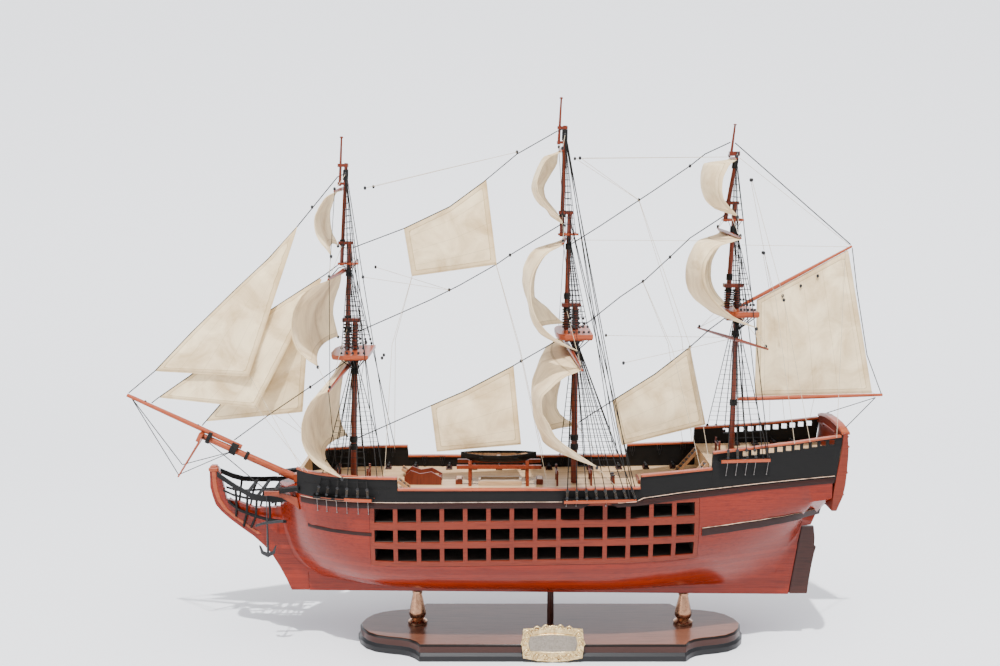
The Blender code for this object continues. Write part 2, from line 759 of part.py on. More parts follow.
def build_rudder():
    rise = POST_HEAD[1] - POST_FOOT[1]
    lean = (POST_HEAD[0] - POST_FOOT[0]) / rise
    off = RUDDER_GAP + RUDDER_HALF_THICKNESS
    base_z, top_z = 52.4, 127.9
    slant = math.hypot(1.0, lean)

    def axis_x(z):
        return POST_FOOT[0] + (z - POST_FOOT[1]) * lean + off * slant

    blade = [(axis_x(base_z), base_z), (278.9, base_z), (280.0, 63.0), (282.3, 81.0)]
    blade += [(285.0, 97.4), (287.0, 105.0), (285.0, 107.0), (285.2, 115.0), (283.6, top_z)]
    blade += [(axis_x(top_z), top_z)]
    half = RUDDER_HALF_THICKNESS
    rudder = outline("rudder", blade, -half, half, "dark_wood")
    stock = turned("rudder_stock", (axis_x(base_z + 0.3), 0.0, base_z + 0.3),
                   (axis_x(top_z - 0.3), 0.0, top_z - 0.3), ((0.0, half), (1.0, half)),
                   "dark_wood", cutter=True, steps=12)
    origin = point(axis_x(base_z), 0.0, base_z)
    rudder.data.transform(Matrix.Translation(-origin))
    rudder.location = origin
    join(rudder, stock)


# Deck furniture
def build_boat():
    fore, aft, half_width = -97.0, -16.0, 13.0
    middle, half_length = (fore + aft) / 2.0, (aft - fore) / 2.0

    def rings(shrink, floor, top):
        made = []
        for t in steps_between(-1.0, 1.0, 8):
            x = middle + t * (half_length - shrink)
            w = max(0.7, (half_width - shrink) * (1.0 - abs(t) ** 2.6))
            low = floor + 4.5 * abs(t) ** 3
            z = top + 1.6 * t * t
            ring = [(x, -w, z), (x, -w * 0.86, low + (z - low) * 0.45)]
            ring += [(x, -w * 0.35, low), (x, w * 0.35, low)]
            ring += [(x, w * 0.86, low + (z - low) * 0.45), (x, w, z)]
            made.append(ring)
        return made

    hull = loft("ship_boat", rings(0.0, 199.6, 208.2), "black_paint")
    hollow = loft("boat_hollow", rings(1.3, 200.9, 212.0), "deck_wood", cutter=True)
    cut(hull, hollow)
    for number, x in enumerate((-75.0, -56.5, -38.0)):
        name = "boat_thwart_%d" % number
        join(hull, box(name, (x - 2.0, -12.0, 205.0), (x + 2.0, 12.0, 206.0), cutter=True))


def build_gallows():
    low = deck_under(-55.0) + GAP + DECK_THICKNESS + 0.4
    frame = box("boat_gallows", (-101.0, -15.0, 194.6), (-11.0, -11.4, 198.4), "spar_wood")
    pieces = [box("gallows_far_beam", (-101.0, 11.4, 194.6), (-11.0, 15.0, 198.4), cutter=True)]
    for number, x in enumerate((-87.0, -26.0)):
        name = "gallows_cross_%d" % number
        pieces.append(box(name, (x - 1.6, -16.5, 195.6), (x + 1.6, 16.5, 201.0), cutter=True))
        for side_name, y in (("near", -13.2), ("far", 13.2)):
            name = "gallows_post_%d_%s" % (number, side_name)
            pieces.append(box(name, (x - 1.7, y - 1.7, low), (x + 1.7, y + 1.7, 197.0),
                              cutter=True))
    join(frame, *pieces)
    hatch = box("main_hatch", (-78.0, -10.5, low), (-32.0, 10.5, low + 4.2), "deck_wood")
    mouth = box("hatch_mouth", (-75.5, -8.0, low + 2.6), (-34.5, 8.0, low + 6.0), cutter=True)
    cut(hatch, mouth)


def build_anchors():
    x = -297.8
    head = CATHEAD[0][1] - 0.1
    for label, sign in (("port", -1.0), ("starboard", 1.0)):
        y = 43.0 * sign
        shank = turned("anchor_" + label, (x, y, 110.0), (x, y, head),
                       ((0.0, 1.3), (0.52, 0.9), (0.53, 0.6), (1.0, 0.6)), "iron", steps=8)
        bent = [(x - 12.2, 142.3), (x - 12.0, 139.9), (x - 5.2, 142.2), (x, 143.1)]
        bent += [(x + 7.8, 144.0), (x + 16.5, 145.0), (x + 16.6, 147.2), (x + 7.8, 146.4)]
        bent += [(x, 145.6), (x - 5.2, 144.6)]
        stock = outline("anchor_stock_" + label, bent, y - 1.2, y + 1.2, "iron", cutter=True)
        arms = [(x - 9.2, 120.0), (x - 7.4, 119.2), (x - 4.8, 113.5), (x, 111.5),
                (x + 4.8, 113.5), (x + 7.4, 119.2), (x + 9.2, 120.0), (x + 7.0, 111.0),
                (x, 107.0), (x - 7.0, 111.0)]
        arm = outline("anchor_arms_" + label, arms, y - 1.0, y + 1.0, "iron", cutter=True)
        join(shank, stock, arm)


# Masts: lower mast with its top; topmast and topgallant mast with their trees
# name, foot x, foot z, head x, head z, foot radius, head radius
LOWER_MASTS = (
    ("fore", -212.5, 177.4, -207.6, 350.0, 3.3, 2.8),
    ("main", 24.6, 176.1, 24.2, 366.0, 3.6, 3.1),
    ("mizzen", 192.8, 207.6, 194.3, 386.5, 3.0, 2.6),
)
# name, fore edge, after edge, half width, underside, upper side
TOPS = (
    ("fore", -231.5, -190.5, 38.0, 314.9, 319.9),
    ("main", 3.0, 40.5, 38.0, 335.4, 341.6),
    ("mizzen", 180.5, 212.0, 30.0, 357.8, 363.8),
)
# name, foot x, foot z, head x, head z, foot radius, head radius
TOPMASTS = (
    ("fore", -216.6, 320.3, -212.3, 434.0, 2.6, 2.3),
    ("main", 14.7, 342.0, 17.6, 465.5, 2.7, 2.4),
    ("mizzen", 184.2, 364.2, 189.7, 475.5, 2.6, 2.3),
)
GALLANTS = (
    ("fore", -221.0, 409.5, -214.3, 515.9, 2.1, 1.9),
    ("main", 9.3, 440.0, 12.2, 554.2, 2.4, 2.1),
    ("mizzen", 179.4, 455.4, 190.5, 526.6, 2.3, 2.0),
)
ROYALS = (
    ("fore", -221.3, 492.3, -218.6, 543.2, 1.6, 1.1),
    ("main", 5.6, 534.8, 8.1, 583.0, 1.6, 1.1),
    ("mizzen", 184.0, 523.6, 187.5, 555.9, 1.5, 1.1),
)
# name, underside of the crosstrees
TREES = (("fore", 410.6), ("main", 441.2), ("mizzen", 456.0))
# mast, fore and after face, underside and top of the blocks that hold the royal poles
ROYAL_BLOCKS = (
    ("fore", -223.0, -212.2, 511.8, 515.2),
    ("fore", -223.3, -213.4, 493.4, 496.2),
    ("main", 4.1, 14.8, 550.5, 553.5),
    ("main", 3.8, 13.9, 535.6, 538.4),
    ("mizzen", 182.0, 192.8, 523.2, 527.8),
)


def row_of(table, name):
    for row in table:
        if row[0] == name:
            return row
    raise KeyError(name)


def mast_at(table, name, z):
    """Axis position and radius of a mast at a height."""
    row = row_of(table, name)
    part = (z - row[2]) / (row[4] - row[2])
    return row[1] + part * (row[3] - row[1]), row[5] + part * (row[6] - row[5])


def build_masts():
    for name, foot_x, foot_z, head_x, head_z, foot_r, head_r in LOWER_MASTS:
        pole = turned(name + "_lower_mast", (foot_x, 0.0, foot_z), (head_x, 0.0, head_z),
                      ((0.0, foot_r), (1.0, head_r)), "mast_wood")
        _, fore, aft, half, under, top = row_of(TOPS, name)
        rings = []
        for z, grow in ((under, -1.5), (under + 1.6, 0.0), (top, 0.0)):
            shape = [(aft + grow, half + grow), (fore + 9.0, half + grow)]
            shape += [(fore + 3.0 - grow * 0.6, half - 6.0), (fore - grow, half * 0.45)]
            ring = [(x, y, z) for x, y in shape]
            ring += [(x, -y, z) for x, y in reversed(shape)]
            rings.append(ring)
        deck = loft(name + "_top", rings, "spar_wood", cutter=True)
        mast_x, mast_r = mast_at(LOWER_MASTS, name, under)
        cheeks = box(name + "_cheeks", (mast_x - 11.0, -mast_r - 1.6, under - 6.0),
                     (mast_x + 8.0, mast_r + 1.6, under + 0.5), cutter=True)
        join(pole, deck, cheeks)
    for name, foot_x, foot_z, head_x, head_z, foot_r, head_r in TOPMASTS:
        pole = turned(name + "_topmast", (foot_x, 0.0, foot_z), (head_x, 0.0, head_z),
                      ((0.0, foot_r), (1.0, head_r)), "mast_wood")
        _, low_x, low_z, top_x, top_z, low_r, top_r = row_of(GALLANTS, name)
        upper = turned(name + "_topgallant_mast", (low_x, 0.0, low_z), (top_x, 0.0, top_z),
                       ((0.0, low_r), (1.0, top_r)), "mast_wood", cutter=True, steps=10)
        _, low_x, low_z, truck_x, truck_z, low_r, tip_r = row_of(ROYALS, name)
        profile = ((0.0, low_r), (0.96, tip_r * 0.9), (0.965, tip_r * 1.7),
                   (0.985, tip_r * 1.7), (1.0, tip_r))
        royal = turned(name + "_royal_pole", (low_x, 0.0, low_z), (truck_x, 0.0, truck_z),
                       profile, "mast_wood", cutter=True, steps=10)
        blocks = [((fore, -3.0, low), (aft, 3.0, top))
                  for mast, fore, aft, low, top in ROYAL_BLOCKS if mast == name]
        royal_blocks = boxes(name + "_royal_blocks", blocks, cutter=True)
        under = row_of(TREES, name)[1]
        tree_x, _ = mast_at(TOPMASTS, name, under)
        trees = boxes(name + "_trees", [((tree_x - 11.5, -3.4, under), (tree_x + 10.0, 3.4, under + 2.2))],
                      cutter=True)
        bars = [((tree_x - 5.2, -17.0, under + 0.9), (tree_x - 3.2, 17.0, under + 3.0)),
                ((tree_x + 5.0, -17.0, under + 0.9), (tree_x + 7.0, 17.0, under + 3.0))]
        crossbars = boxes(name + "_crosstrees", bars, cutter=True)
        lower_head_x, lower_head_z = row_of(LOWER_MASTS, name)[3:5]
        cap_x, _ = mast_at(TOPMASTS, name, lower_head_z + 2.0)
        low_cap = box(name + "_lower_cap", (cap_x - 5.5, -5.0, lower_head_z + GAP),
                      (lower_head_x + 5.5, 5.0, lower_head_z + 4.3), cutter=True)
        high_cap = box(name + "_upper_cap", (head_x - 11.5, -3.4, head_z - 2.4),
                       (head_x + 3.6, 3.4, head_z + 1.0), cutter=True)
        join(pole, upper, royal_blocks, royal, trees, crossbars, low_cap, high_cap)


# name, mast, table the yard's centre lies before, centre height, near end x, near end z,
# half length, middle radius, tip radius
YARDS = (
    ("fore_course_yard", "fore", "lower", 304.5, -220.0, 298.3, 118.0, 2.6, 1.2),
    ("fore_topsail_yard", "fore", "top", 404.8, -221.9, 403.6, 92.0, 2.2, 1.0),
    ("fore_topgallant_yard", "fore", "gallant", 489.5, -218.9, 488.0, 60.0, 1.5, 0.8),
    ("main_course_yard", "main", "lower", 322.5, 24.0, 318.3, 118.0, 2.7, 1.2),
    ("main_topsail_yard", "main", "top", 436.5, 6.0, 438.5, 92.0, 2.3, 1.0),
    ("main_topgallant_yard", "main", "gallant", 529.5, 6.4, 527.8, 60.0, 1.5, 0.8),
    ("crossjack_yard", "mizzen", "lower", 333.0, 211.0, 332.5, 76.0, 2.0, 1.0),
    ("mizzen_topsail_yard", "mizzen", "top", 443.6, 183.3, 442.0, 66.0, 1.8, 0.9),
    ("mizzen_topgallant_yard", "mizzen", "gallant", 521.0, 181.0, 520.1, 46.0, 1.3, 0.7),
)


def yard_line(row):
    """Centre and the two ends of a yard that lies just before its mast."""
    _, mast, kind, centre_z, near_x, near_z, half, middle_r, _ = row
    if kind == "lower":
        mast_x, mast_r = mast_at(LOWER_MASTS, mast, centre_z)
    elif kind == "top":
        mast_x, mast_r = mast_at(TOPMASTS, mast, centre_z)
    else:
        mast_x, mast_r = mast_at(GALLANTS, mast, centre_z)
    centre_x = mast_x - mast_r - middle_r - 0.35
    swing, cant = near_x - centre_x, near_z - centre_z
    near = (centre_x + swing, -half, centre_z + cant)
    far = (centre_x - swing, half, centre_z - cant)
    return (centre_x, 0.0, centre_z), near, far


def build_yards():
    for row in YARDS:
        _, near, far = yard_line(row)
        name, middle_r, tip_r = row[0], row[7], row[8]
        profile = ((0.0, tip_r), (0.25, middle_r * 0.8), (0.45, middle_r), (0.55, middle_r),
                   (0.75, middle_r * 0.8), (1.0, tip_r))
        turned(name, near, far, profile, "spar_wood", steps=10)


BOWSPRIT_SLOPE = 0.461
BOWSPRIT_HEEL = (-271.5, 180.0)
BOWSPRIT_END_X = -375.5
JIB_BOOM_SLOPE = 0.472
JIB_BOOM_HEEL = (-331.5, 214.8)
JIB_BOOM_END_X = -451.8
JIB_BOOM_RADIUS = 2.6


def bowsprit_z(x):
    return BOWSPRIT_HEEL[1] + (BOWSPRIT_HEEL[0] - x) * BOWSPRIT_SLOPE


def jib_boom_z(x):
    return JIB_BOOM_HEEL[1] + (JIB_BOOM_HEEL[0] - x) * JIB_BOOM_SLOPE


def build_bowsprit():
    heel = (BOWSPRIT_HEEL[0], 0.0, BOWSPRIT_HEEL[1])
    end = (BOWSPRIT_END_X, 0.0, bowsprit_z(BOWSPRIT_END_X))
    profile = ((0.0, 3.3), (0.05, 4.1), (0.5, 3.9), (0.55, 3.5), (1.0, 3.3))
    spar = turned("bowsprit", heel, end, profile, "spar_wood")
    block = box("bowsprit_bitts", (-276.0, -4.6, 177.4), (-266.2, 4.6, 186.0), cutter=True)
    tilt = along(end, (end[0] - 10.0, 0.0, end[2] + 10.0 * BOWSPRIT_SLOPE))
    cap = box("bowsprit_cap", (-4.4, -4.6, -3.6), (11.4, 4.6, 0.6), cutter=True, matrix=tilt)
    low = (end[0] + 2.6, 0.0, end[2] - 1.5)
    striker = turned("dolphin_striker", low, (-401.0, 0.0, 182.0), ((0.0, 1.5), (1.0, 0.9)),
                     "black_paint", cutter=True, steps=8)
    join(spar, block, cap, striker)
    start = (JIB_BOOM_HEEL[0], 0.0, JIB_BOOM_HEEL[1])
    tip = (JIB_BOOM_END_X, 0.0, jib_boom_z(JIB_BOOM_END_X))
    thick = JIB_BOOM_RADIUS
    turned("jib_boom", start, tip, ((0.0, thick), (0.5, thick), (1.0, 1.9)), "spar_wood", steps=10)
    hole = turned("cap_hole", start, tip, ((0.0, thick + 0.35), (1.0, thick + 0.35)),
                  "spar_wood", cutter=True, steps=16)
    cut(spar, hole)


GAFF_JAW = (198.4, 367.0)
GAFF_PEAK = (313.0, 429.8)
BOOM_JAW = (197.8, 267.2)
BOOM_END = (351.8, 271.8)


def build_spanker_spars():
    for name, jaw, end, thick, thin in (
        ("gaff", GAFF_JAW, GAFF_PEAK, 2.0, 1.2),
        ("spanker_boom", BOOM_JAW, BOOM_END, 2.3, 1.5),
    ):
        turned(name, (jaw[0], 0.0, jaw[1]), (end[0], 0.0, end[1]),
               ((0.0, thick * 0.7), (0.05, thick), (0.4, thick), (1.0, thin)), "spar_wood",
               steps=10)


# Sails
# name, yard it hangs from, head half width, clew half width, clew z, foot rise
SQUARE_SAILS = (
    ("fore_course", "fore_course_yard", 108.0, 95.0, 206.3, 4.0),
    ("fore_topsail", "fore_topsail_yard", 86.0, 104.0, 320.2, 3.0),
    ("fore_topgallant_sail", "fore_topgallant_yard", 55.0, 78.0, 425.8, 6.0),
    ("main_course", "main_course_yard", 108.0, 95.0, 217.5, 6.0),
    ("main_topsail", "main_topsail_yard", 86.0, 104.0, 334.8, 6.0),
    ("main_topgallant_sail", "main_topgallant_yard", 55.0, 78.0, 456.0, 6.0),
    ("mizzen_topsail", "mizzen_topsail_yard", 62.0, 72.0, 353.4, 8.0),
    ("mizzen_topgallant_sail", "mizzen_topgallant_yard", 43.0, 58.0, 463.5, 6.0),
)
SAIL_SEGMENTS = 8

# the x of a sail's port leech, middle and starboard leech, by part of its height
SAIL_CURVES = {
    "fore_course": (
        (0.08, -235.3, -232.3, -231.7),
        (0.18, -242.1, -235.5, -233.4),
        (0.30, -246.8, -241.2, -235.4),
        (0.42, -249.5, -247.6, -237.2),
        (0.55, -249.8, -250.1, -239.0),
        (0.68, -246.8, -250.6, -239.9),
        (0.80, -240.3, -249.2, -239.5),
        (0.90, -230.0, -248.0, -236.8),
        (1.00, -211.8, -242.7, -231.2),
    ),
    "fore_topsail": (
        (0.08, -238.6, -229.0, -233.6),
        (0.18, -247.9, -235.0, -234.0),
        (0.30, -254.2, -243.0, -236.4),
        (0.42, -257.5, -248.5, -240.4),
        (0.55, -258.2, -251.0, -243.7),
        (0.68, -256.5, -252.0, -245.2),
        (0.80, -252.7, -251.0, -243.7),
        (0.90, -244.8, -249.0, -242.2),
        (1.00, -232.0, -245.0, -240.6),
    ),
    "fore_topgallant_sail": (
        (0.08, -227.8, -231.9, -233.5),
        (0.18, -232.0, -234.0, -235.9),
        (0.30, -235.9, -236.7, -238.7),
        (0.42, -238.3, -239.4, -241.4),
        (0.55, -237.8, -240.2, -241.9),
        (0.68, -235.5, -239.9, -241.6),
        (0.80, -231.1, -238.0, -240.2),
        (0.90, -225.3, -235.9, -237.1),
        (1.00, -220.7, -231.8, -235.1),
    ),
    "main_course": (
        (0.08, 5.8, -11.7, 14.0),
        (0.18, -5.1, -16.1, 14.2),
        (0.30, -14.7, -19.0, 15.4),
        (0.42, -14.3, -19.7, 15.8),
        (0.55, -7.3, -19.5, 14.0),
        (0.68, -1.0, -18.7, 10.9),
        (0.80, 12.6, -17.1, 10.2),
        (0.90, 26.4, -13.9, 15.6),
        (1.00, 41.0, -10.2, 33.9),
    ),
    "main_topsail": (
        (0.08, -9.2, -19.7, 3.6),
        (0.18, -17.7, -26.5, -2.9),
        (0.30, -23.5, -31.0, -10.7),
        (0.42, -25.5, -31.9, -15.2),
        (0.55, -24.5, -29.5, -16.5),
        (0.68, -20.2, -25.7, -15.9),
        (0.80, -11.4, -23.8, -2.3),
        (0.90, 1.2, -20.7, 6.6),
        (1.00, 21.1, -15.0, 17.9),
    ),
    "main_topgallant_sail": (
        (0.08, -7.0, -8.6, 7.4),
        (0.18, -12.5, -12.1, 6.9),
        (0.30, -16.2, -16.0, 2.2),
        (0.42, -18.8, -19.2, -2.9),
        (0.55, -17.8, -21.8, -7.1),
        (0.68, -12.2, -19.8, -5.5),
        (0.80, -4.9, -14.4, 0.6),
        (0.90, 2.5, -6.8, 7.0),
        (1.00, 7.5, -2.9, 11.5),
    ),
    "mizzen_topsail": (
        (0.08, 162.0, 151.0, 193.8),
        (0.18, 153.9, 145.3, 187.9),
        (0.30, 148.9, 141.5, 181.5),
        (0.42, 148.1, 140.0, 178.2),
        (0.55, 150.7, 140.3, 178.0),
        (0.68, 157.6, 142.6, 180.6),
        (0.80, 167.8, 148.1, 186.7),
        (0.90, 180.3, 156.4, 195.3),
        (1.00, 200.2, 166.3, 201.5),
    ),
    "mizzen_topgallant_sail": (
        (0.08, 174.3, 156.3, 186.3),
        (0.18, 171.2, 154.0, 182.7),
        (0.30, 167.8, 152.5, 179.8),
        (0.42, 166.4, 152.2, 178.8),
        (0.55, 166.0, 153.0, 178.9),
        (0.68, 167.1, 155.3, 181.6),
        (0.80, 171.0, 158.3, 185.9),
        (0.90, 176.0, 162.3, 190.8),
        (1.00, 181.0, 168.0, 197.6),
    ),
}


def grid_sheet(name, surface, across, down, thickness, look="canvas", cutter=False):
    shape = bmesh.new()
    bmesh.ops.create_grid(shape, x_segments=across, y_segments=down, size=0.5)
    for vert in shape.verts:
        vert.co = point(*surface(vert.co.x + 0.5, vert.co.y + 0.5))
    mesh = bpy.data.meshes.new(name)
    shape.to_mesh(mesh)
    shape.free()
    obj = place(name, mesh, look, cutter)
    skin = obj.modifiers.new("thickness", "SOLIDIFY")
    skin.thickness = thickness * MM
    skin.offset = 0.0
    return obj


def square_sail_surface(row):
    """Point on a square sail; u runs from port to starboard, v from head to foot."""
    name, yard_name, head_half, clew_half, clew_z, rise = row
    yard = row_of(YARDS, yard_name)
    centre, near, _ = yard_line(yard)
    middle_r, tip_r, half = yard[7], yard[8], yard[6]

    def head_at(y):
        reach = abs(y) / half
        radius = middle_r + (tip_r - middle_r) * max(0.0, (reach - 0.1) / 0.9)
        x = centre[0] + (centre[0] - near[0]) * y / half
        return x, centre[2] + (centre[2] - near[2]) * y / half - radius - GAP - 0.2

    head = (0.0, head_at(-head_half)[0], centre[0], head_at(head_half)[0])
    curves = (head,) + SAIL_CURVES[name]

    def surface(u, v):
        across = 2.0 * u - 1.0
        y_head, y_foot = across * head_half, across * clew_half
        foot_z = clew_z + rise * (1.0 - across * across)
        head_z = head_at(y_head)[1]
        port = smooth_value(curves, v, 1)
        middle = smooth_value(curves, v, 2)
        starboard = smooth_value(curves, v, 3)
        x = port * (1.0 - u) * (1.0 - 2.0 * u) + starboard * u * (2.0 * u - 1.0)
        x += middle * 4.0 * u * (1.0 - u)
        return x, y_head + (y_foot - y_head) * v, head_z + (foot_z - head_z) * v

    return surface


def build_square_sails():
    for row in SQUARE_SAILS:
        grid_sheet(row[0], square_sail_surface(row), SAIL_SEGMENTS, SAIL_SEGMENTS,
                   SAIL_THICKNESS)


def stay(name, path, cutter=False, radius=STAY_RADIUS):
    """Six-sided line on the centre plane through a list of x, z points."""
    rings = []
    last = len(path) - 1
    for i, (x, z) in enumerate(path):
        before, after = path[max(0, i - 1)], path[min(last, i + 1)]
        dx, dz = after[0] - before[0], after[1] - before[1]
        length = math.hypot(dx, dz)
        ring = []
        for k in range(6):
            angle = math.radians(60.0 * k)
            out = radius * math.cos(angle)
            ring.append((x + dz / length * out, radius * math.sin(angle), z - dx / length * out))
        rings.append(ring)
    return loft(name, rings, "iron", cutter)


# name, points of its stay from the upper end down as x and z, the x where the sail's
# edge starts and ends on it, after corner of the head side and of the foot side as x, z, y
STAY_SAILS = (
    ("flying_jib", ((-223.2, 502.0), (-267.8, 448.8), (-297.9, 416.4), (-332.4, 384.9),
                    (-381.4, 338.2), (-421.1, 297.5), (-449.9, 273.9)),
     -269.0, -421.0, (-266.6, 449.6, -0.3), (-319.0, 294.5, -14.0)),
    ("outer_jib", ((-225.5, 409.7), (-237.5, 400.7), (-298.4, 361.6), (-383.0, 293.2),
                   (-419.1, 268.3), (-426.0, 262.9)),
     -245.0, -418.0, (-242.5, 394.5, -0.3), (-313.0, 260.0, -11.0)),
    ("inner_jib", ((-224.3, 407.1), (-373.2, 238.4)),
     -257.5, -369.0, (-256.0, 366.0, 0.3), (-266.9, 252.0, 7.0)),
    ("main_topmast_staysail", ((3.9, 548.4), (-37.4, 525.1), (-71.6, 496.9), (-107.0, 471.1),
                               (-155.2, 448.3), (-209.3, 428.0)),
     -69.5, -155.0, (-58.7, 411.3, -4.0), (-147.2, 398.8, -2.0)),
    ("main_staysail", ((12.3, 334.2), (-43.3, 301.8), (-92.2, 275.9), (-129.6, 259.6),
                       (-177.8, 237.9), (-207.1, 224.8)),
     -41.0, -128.4, (-32.8, 218.9, -4.0), (-122.4, 210.6, -2.0)),
    ("mizzen_staysail", ((182.2, 354.1), (166.7, 342.4), (146.0, 323.2), (109.5, 294.2),
                         (72.7, 270.5), (41.0, 249.9), (28.75, 241.6)),
     145.8, 64.7, (163.5, 240.5, -4.0), (75.4, 217.6, -2.0)),
)


def stay_point(path, x):
    return table_value(sorted(path), x)


def luff_stations(path, top_x, low_x):
    """Lengths from the sail's upper to its lower corner, with every bend of the stay."""
    bends = [x for x, _ in path if low_x + 1.0 < x < top_x - 1.0]
    marks = [top_x] + bends + [low_x]
    made = [top_x]
    for first, second in zip(marks, marks[1:]):
        count = max(1, round(abs(second - first) / 30.0))
        made += steps_between(first, second, count)[1:]
    return made


def build_stay_sails():
    for name, path, top_x, low_x, top_aft, low_aft in STAY_SAILS:
        lengths = luff_stations(path, top_x, low_x)
        last = len(lengths) - 1

        def surface(u, v):
            x = lengths[round(v * last)]
            part = (x - top_x) / (low_x - top_x)
            fore = (x, 0.0, stay_point(path, x))
            leech = []
            for i in (0, 2, 1):
                leech.append(top_aft[i] + (low_aft[i] - top_aft[i]) * part)
            made = [fore[i] + (leech[i] - fore[i]) * u for i in range(3)]
            lean = 1.0 if low_aft[2] > 0.0 else -1.0
            made[1] += lean * 3.0 * math.sin(math.pi * u) * math.sin(math.pi * part)
            return made

        sail = grid_sheet(name, surface, 4, last, SAIL_THICKNESS)
        join(sail, stay(name + "_stay", path, cutter=True))


# name, points as x and z
BARE_STAYS = (
    ("fore_stay", ((-218.6, 307.6), (-250.5, 284.5), (-300.3, 250.9), (-339.4, 222.5))),
    ("main_topmast_stay", ((6.2, 451.1), (-44.5, 420.6), (-58.1, 411.2), (-97.0, 389.1),
                           (-128.7, 373.2), (-204.1, 339.9))),
    ("mizzen_topgallant_stay", ((183.1, 537.2), (157.1, 525.1), (141.8, 512.9),
                                (100.9, 485.1), (49.3, 450.9), (20.3, 432.6))),
    ("mizzen_topmast_stay", ((176.8, 460.4), (143.5, 438.4), (123.0, 418.5), (97.2, 394.4),
                             (71.2, 376.4), (39.9, 351.0), (28.5, 343.3))),
    ("peak_stay", ((187.8, 536.6), (311.6, 431.6))),
)


def build_bare_stays():
    for name, path in BARE_STAYS:
        stay(name, path)


def build_spanker():
    def surface(u, v):
        gaff_x = 215.5 + (309.0 - 215.5) * u
        gaff_part = (gaff_x - GAFF_JAW[0]) / (GAFF_PEAK[0] - GAFF_JAW[0])
        gaff_z = GAFF_JAW[1] + (GAFF_PEAK[1] - GAFF_JAW[1]) * gaff_part - 3.2 + 0.8 * u
        boom_x = 216.5 + (340.5 - 216.5) * u
        boom_part = (boom_x - BOOM_JAW[0]) / (BOOM_END[0] - BOOM_JAW[0])
        boom_z = BOOM_JAW[1] + (BOOM_END[1] - BOOM_JAW[1]) * boom_part + 2.9 - 0.6 * u
        x = gaff_x + (boom_x - gaff_x) * v
        z = gaff_z + (boom_z - gaff_z) * v
        y = -5.0 * math.sin(math.pi * u) * math.sin(math.pi * v)
        return x, y, z

    grid_sheet("spanker", surface, 5, 6, SAIL_THICKNESS)


build_stand()
build_hull()
build_bulwarks()
build_decks()
build_stern()
build_head()
build_rudder()
build_boat()
build_gallows()
build_anchors()
build_masts()
build_yards()
build_bowsprit()
build_spanker_spars()
build_square_sails()
build_stay_sails()
build_bare_stays()
build_spanker()
bpy.context.view_layer.update()
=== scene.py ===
# %% [markdown]
# # A display model of a three-masted ship, dressed for a photograph
# The solids of the model come first, as a fixed frame that everything else is set against.
# A scene could carry its own copy of each shape, but two copies drift apart, so each new
# piece here is placed from the measured solids.

# %% Load the solids
import json
import math

import bmesh
import bpy
from mathutils import Matrix, Vector, noise
from mathutils.bvhtree import BVHTree

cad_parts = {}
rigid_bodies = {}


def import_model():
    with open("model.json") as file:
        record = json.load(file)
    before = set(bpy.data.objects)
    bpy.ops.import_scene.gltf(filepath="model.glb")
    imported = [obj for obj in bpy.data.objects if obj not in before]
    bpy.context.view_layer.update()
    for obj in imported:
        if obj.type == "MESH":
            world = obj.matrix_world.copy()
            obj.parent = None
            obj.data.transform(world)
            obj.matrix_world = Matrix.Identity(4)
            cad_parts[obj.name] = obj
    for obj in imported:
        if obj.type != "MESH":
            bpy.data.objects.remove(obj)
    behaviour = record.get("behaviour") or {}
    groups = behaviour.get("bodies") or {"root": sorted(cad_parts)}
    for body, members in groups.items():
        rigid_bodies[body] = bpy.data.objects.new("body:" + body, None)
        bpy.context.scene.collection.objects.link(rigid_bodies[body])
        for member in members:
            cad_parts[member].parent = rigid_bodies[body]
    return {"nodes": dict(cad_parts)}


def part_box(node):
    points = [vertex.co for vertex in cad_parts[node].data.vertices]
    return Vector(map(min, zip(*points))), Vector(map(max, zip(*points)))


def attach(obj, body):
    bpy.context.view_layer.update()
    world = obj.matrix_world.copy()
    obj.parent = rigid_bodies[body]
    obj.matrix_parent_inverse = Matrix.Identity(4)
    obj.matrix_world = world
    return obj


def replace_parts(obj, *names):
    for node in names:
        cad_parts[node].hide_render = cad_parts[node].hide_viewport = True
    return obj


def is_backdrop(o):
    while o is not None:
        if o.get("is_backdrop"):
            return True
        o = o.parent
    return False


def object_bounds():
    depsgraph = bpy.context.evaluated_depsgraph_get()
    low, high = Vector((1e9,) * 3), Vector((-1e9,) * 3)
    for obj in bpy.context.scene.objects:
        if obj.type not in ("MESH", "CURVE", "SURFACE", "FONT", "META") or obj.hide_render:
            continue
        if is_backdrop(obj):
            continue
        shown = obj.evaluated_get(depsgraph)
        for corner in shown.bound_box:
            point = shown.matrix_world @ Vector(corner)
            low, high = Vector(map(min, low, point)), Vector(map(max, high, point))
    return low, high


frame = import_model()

MM = 0.001
nodes = frame["nodes"]
cad_box = [list(corner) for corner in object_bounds()]
print("solids", len(nodes), "box", [[round(v, 4) for v in corner] for corner in cad_box])

# %% [markdown]
# ## Camera, floor and soft light
# The model stands on a white table and is seen from just above deck height. One large
# softbox and a bright surround give the wide sheen on the bilge, and a small sun adds the
# crisp edge that sails cast on the topsides. A spot would burn single points instead.

# %% Camera and studio
def mm(x, y, z):
    return Vector((x * MM, y * MM, z * MM))


def make_camera():
    lens = bpy.data.cameras.new("studio_camera")
    lens.sensor_width = 36.0
    lens.lens = 42.48
    lens.clip_start = 0.05
    holder = bpy.data.objects.new("studio_camera", lens)
    bpy.context.scene.collection.objects.link(holder)
    holder.location = mm(-55.0, -1234.5, 510.8)
    holder.rotation_euler = (math.radians(90.0 - 7.96), 0.0, 0.0)
    bpy.context.scene.camera = holder


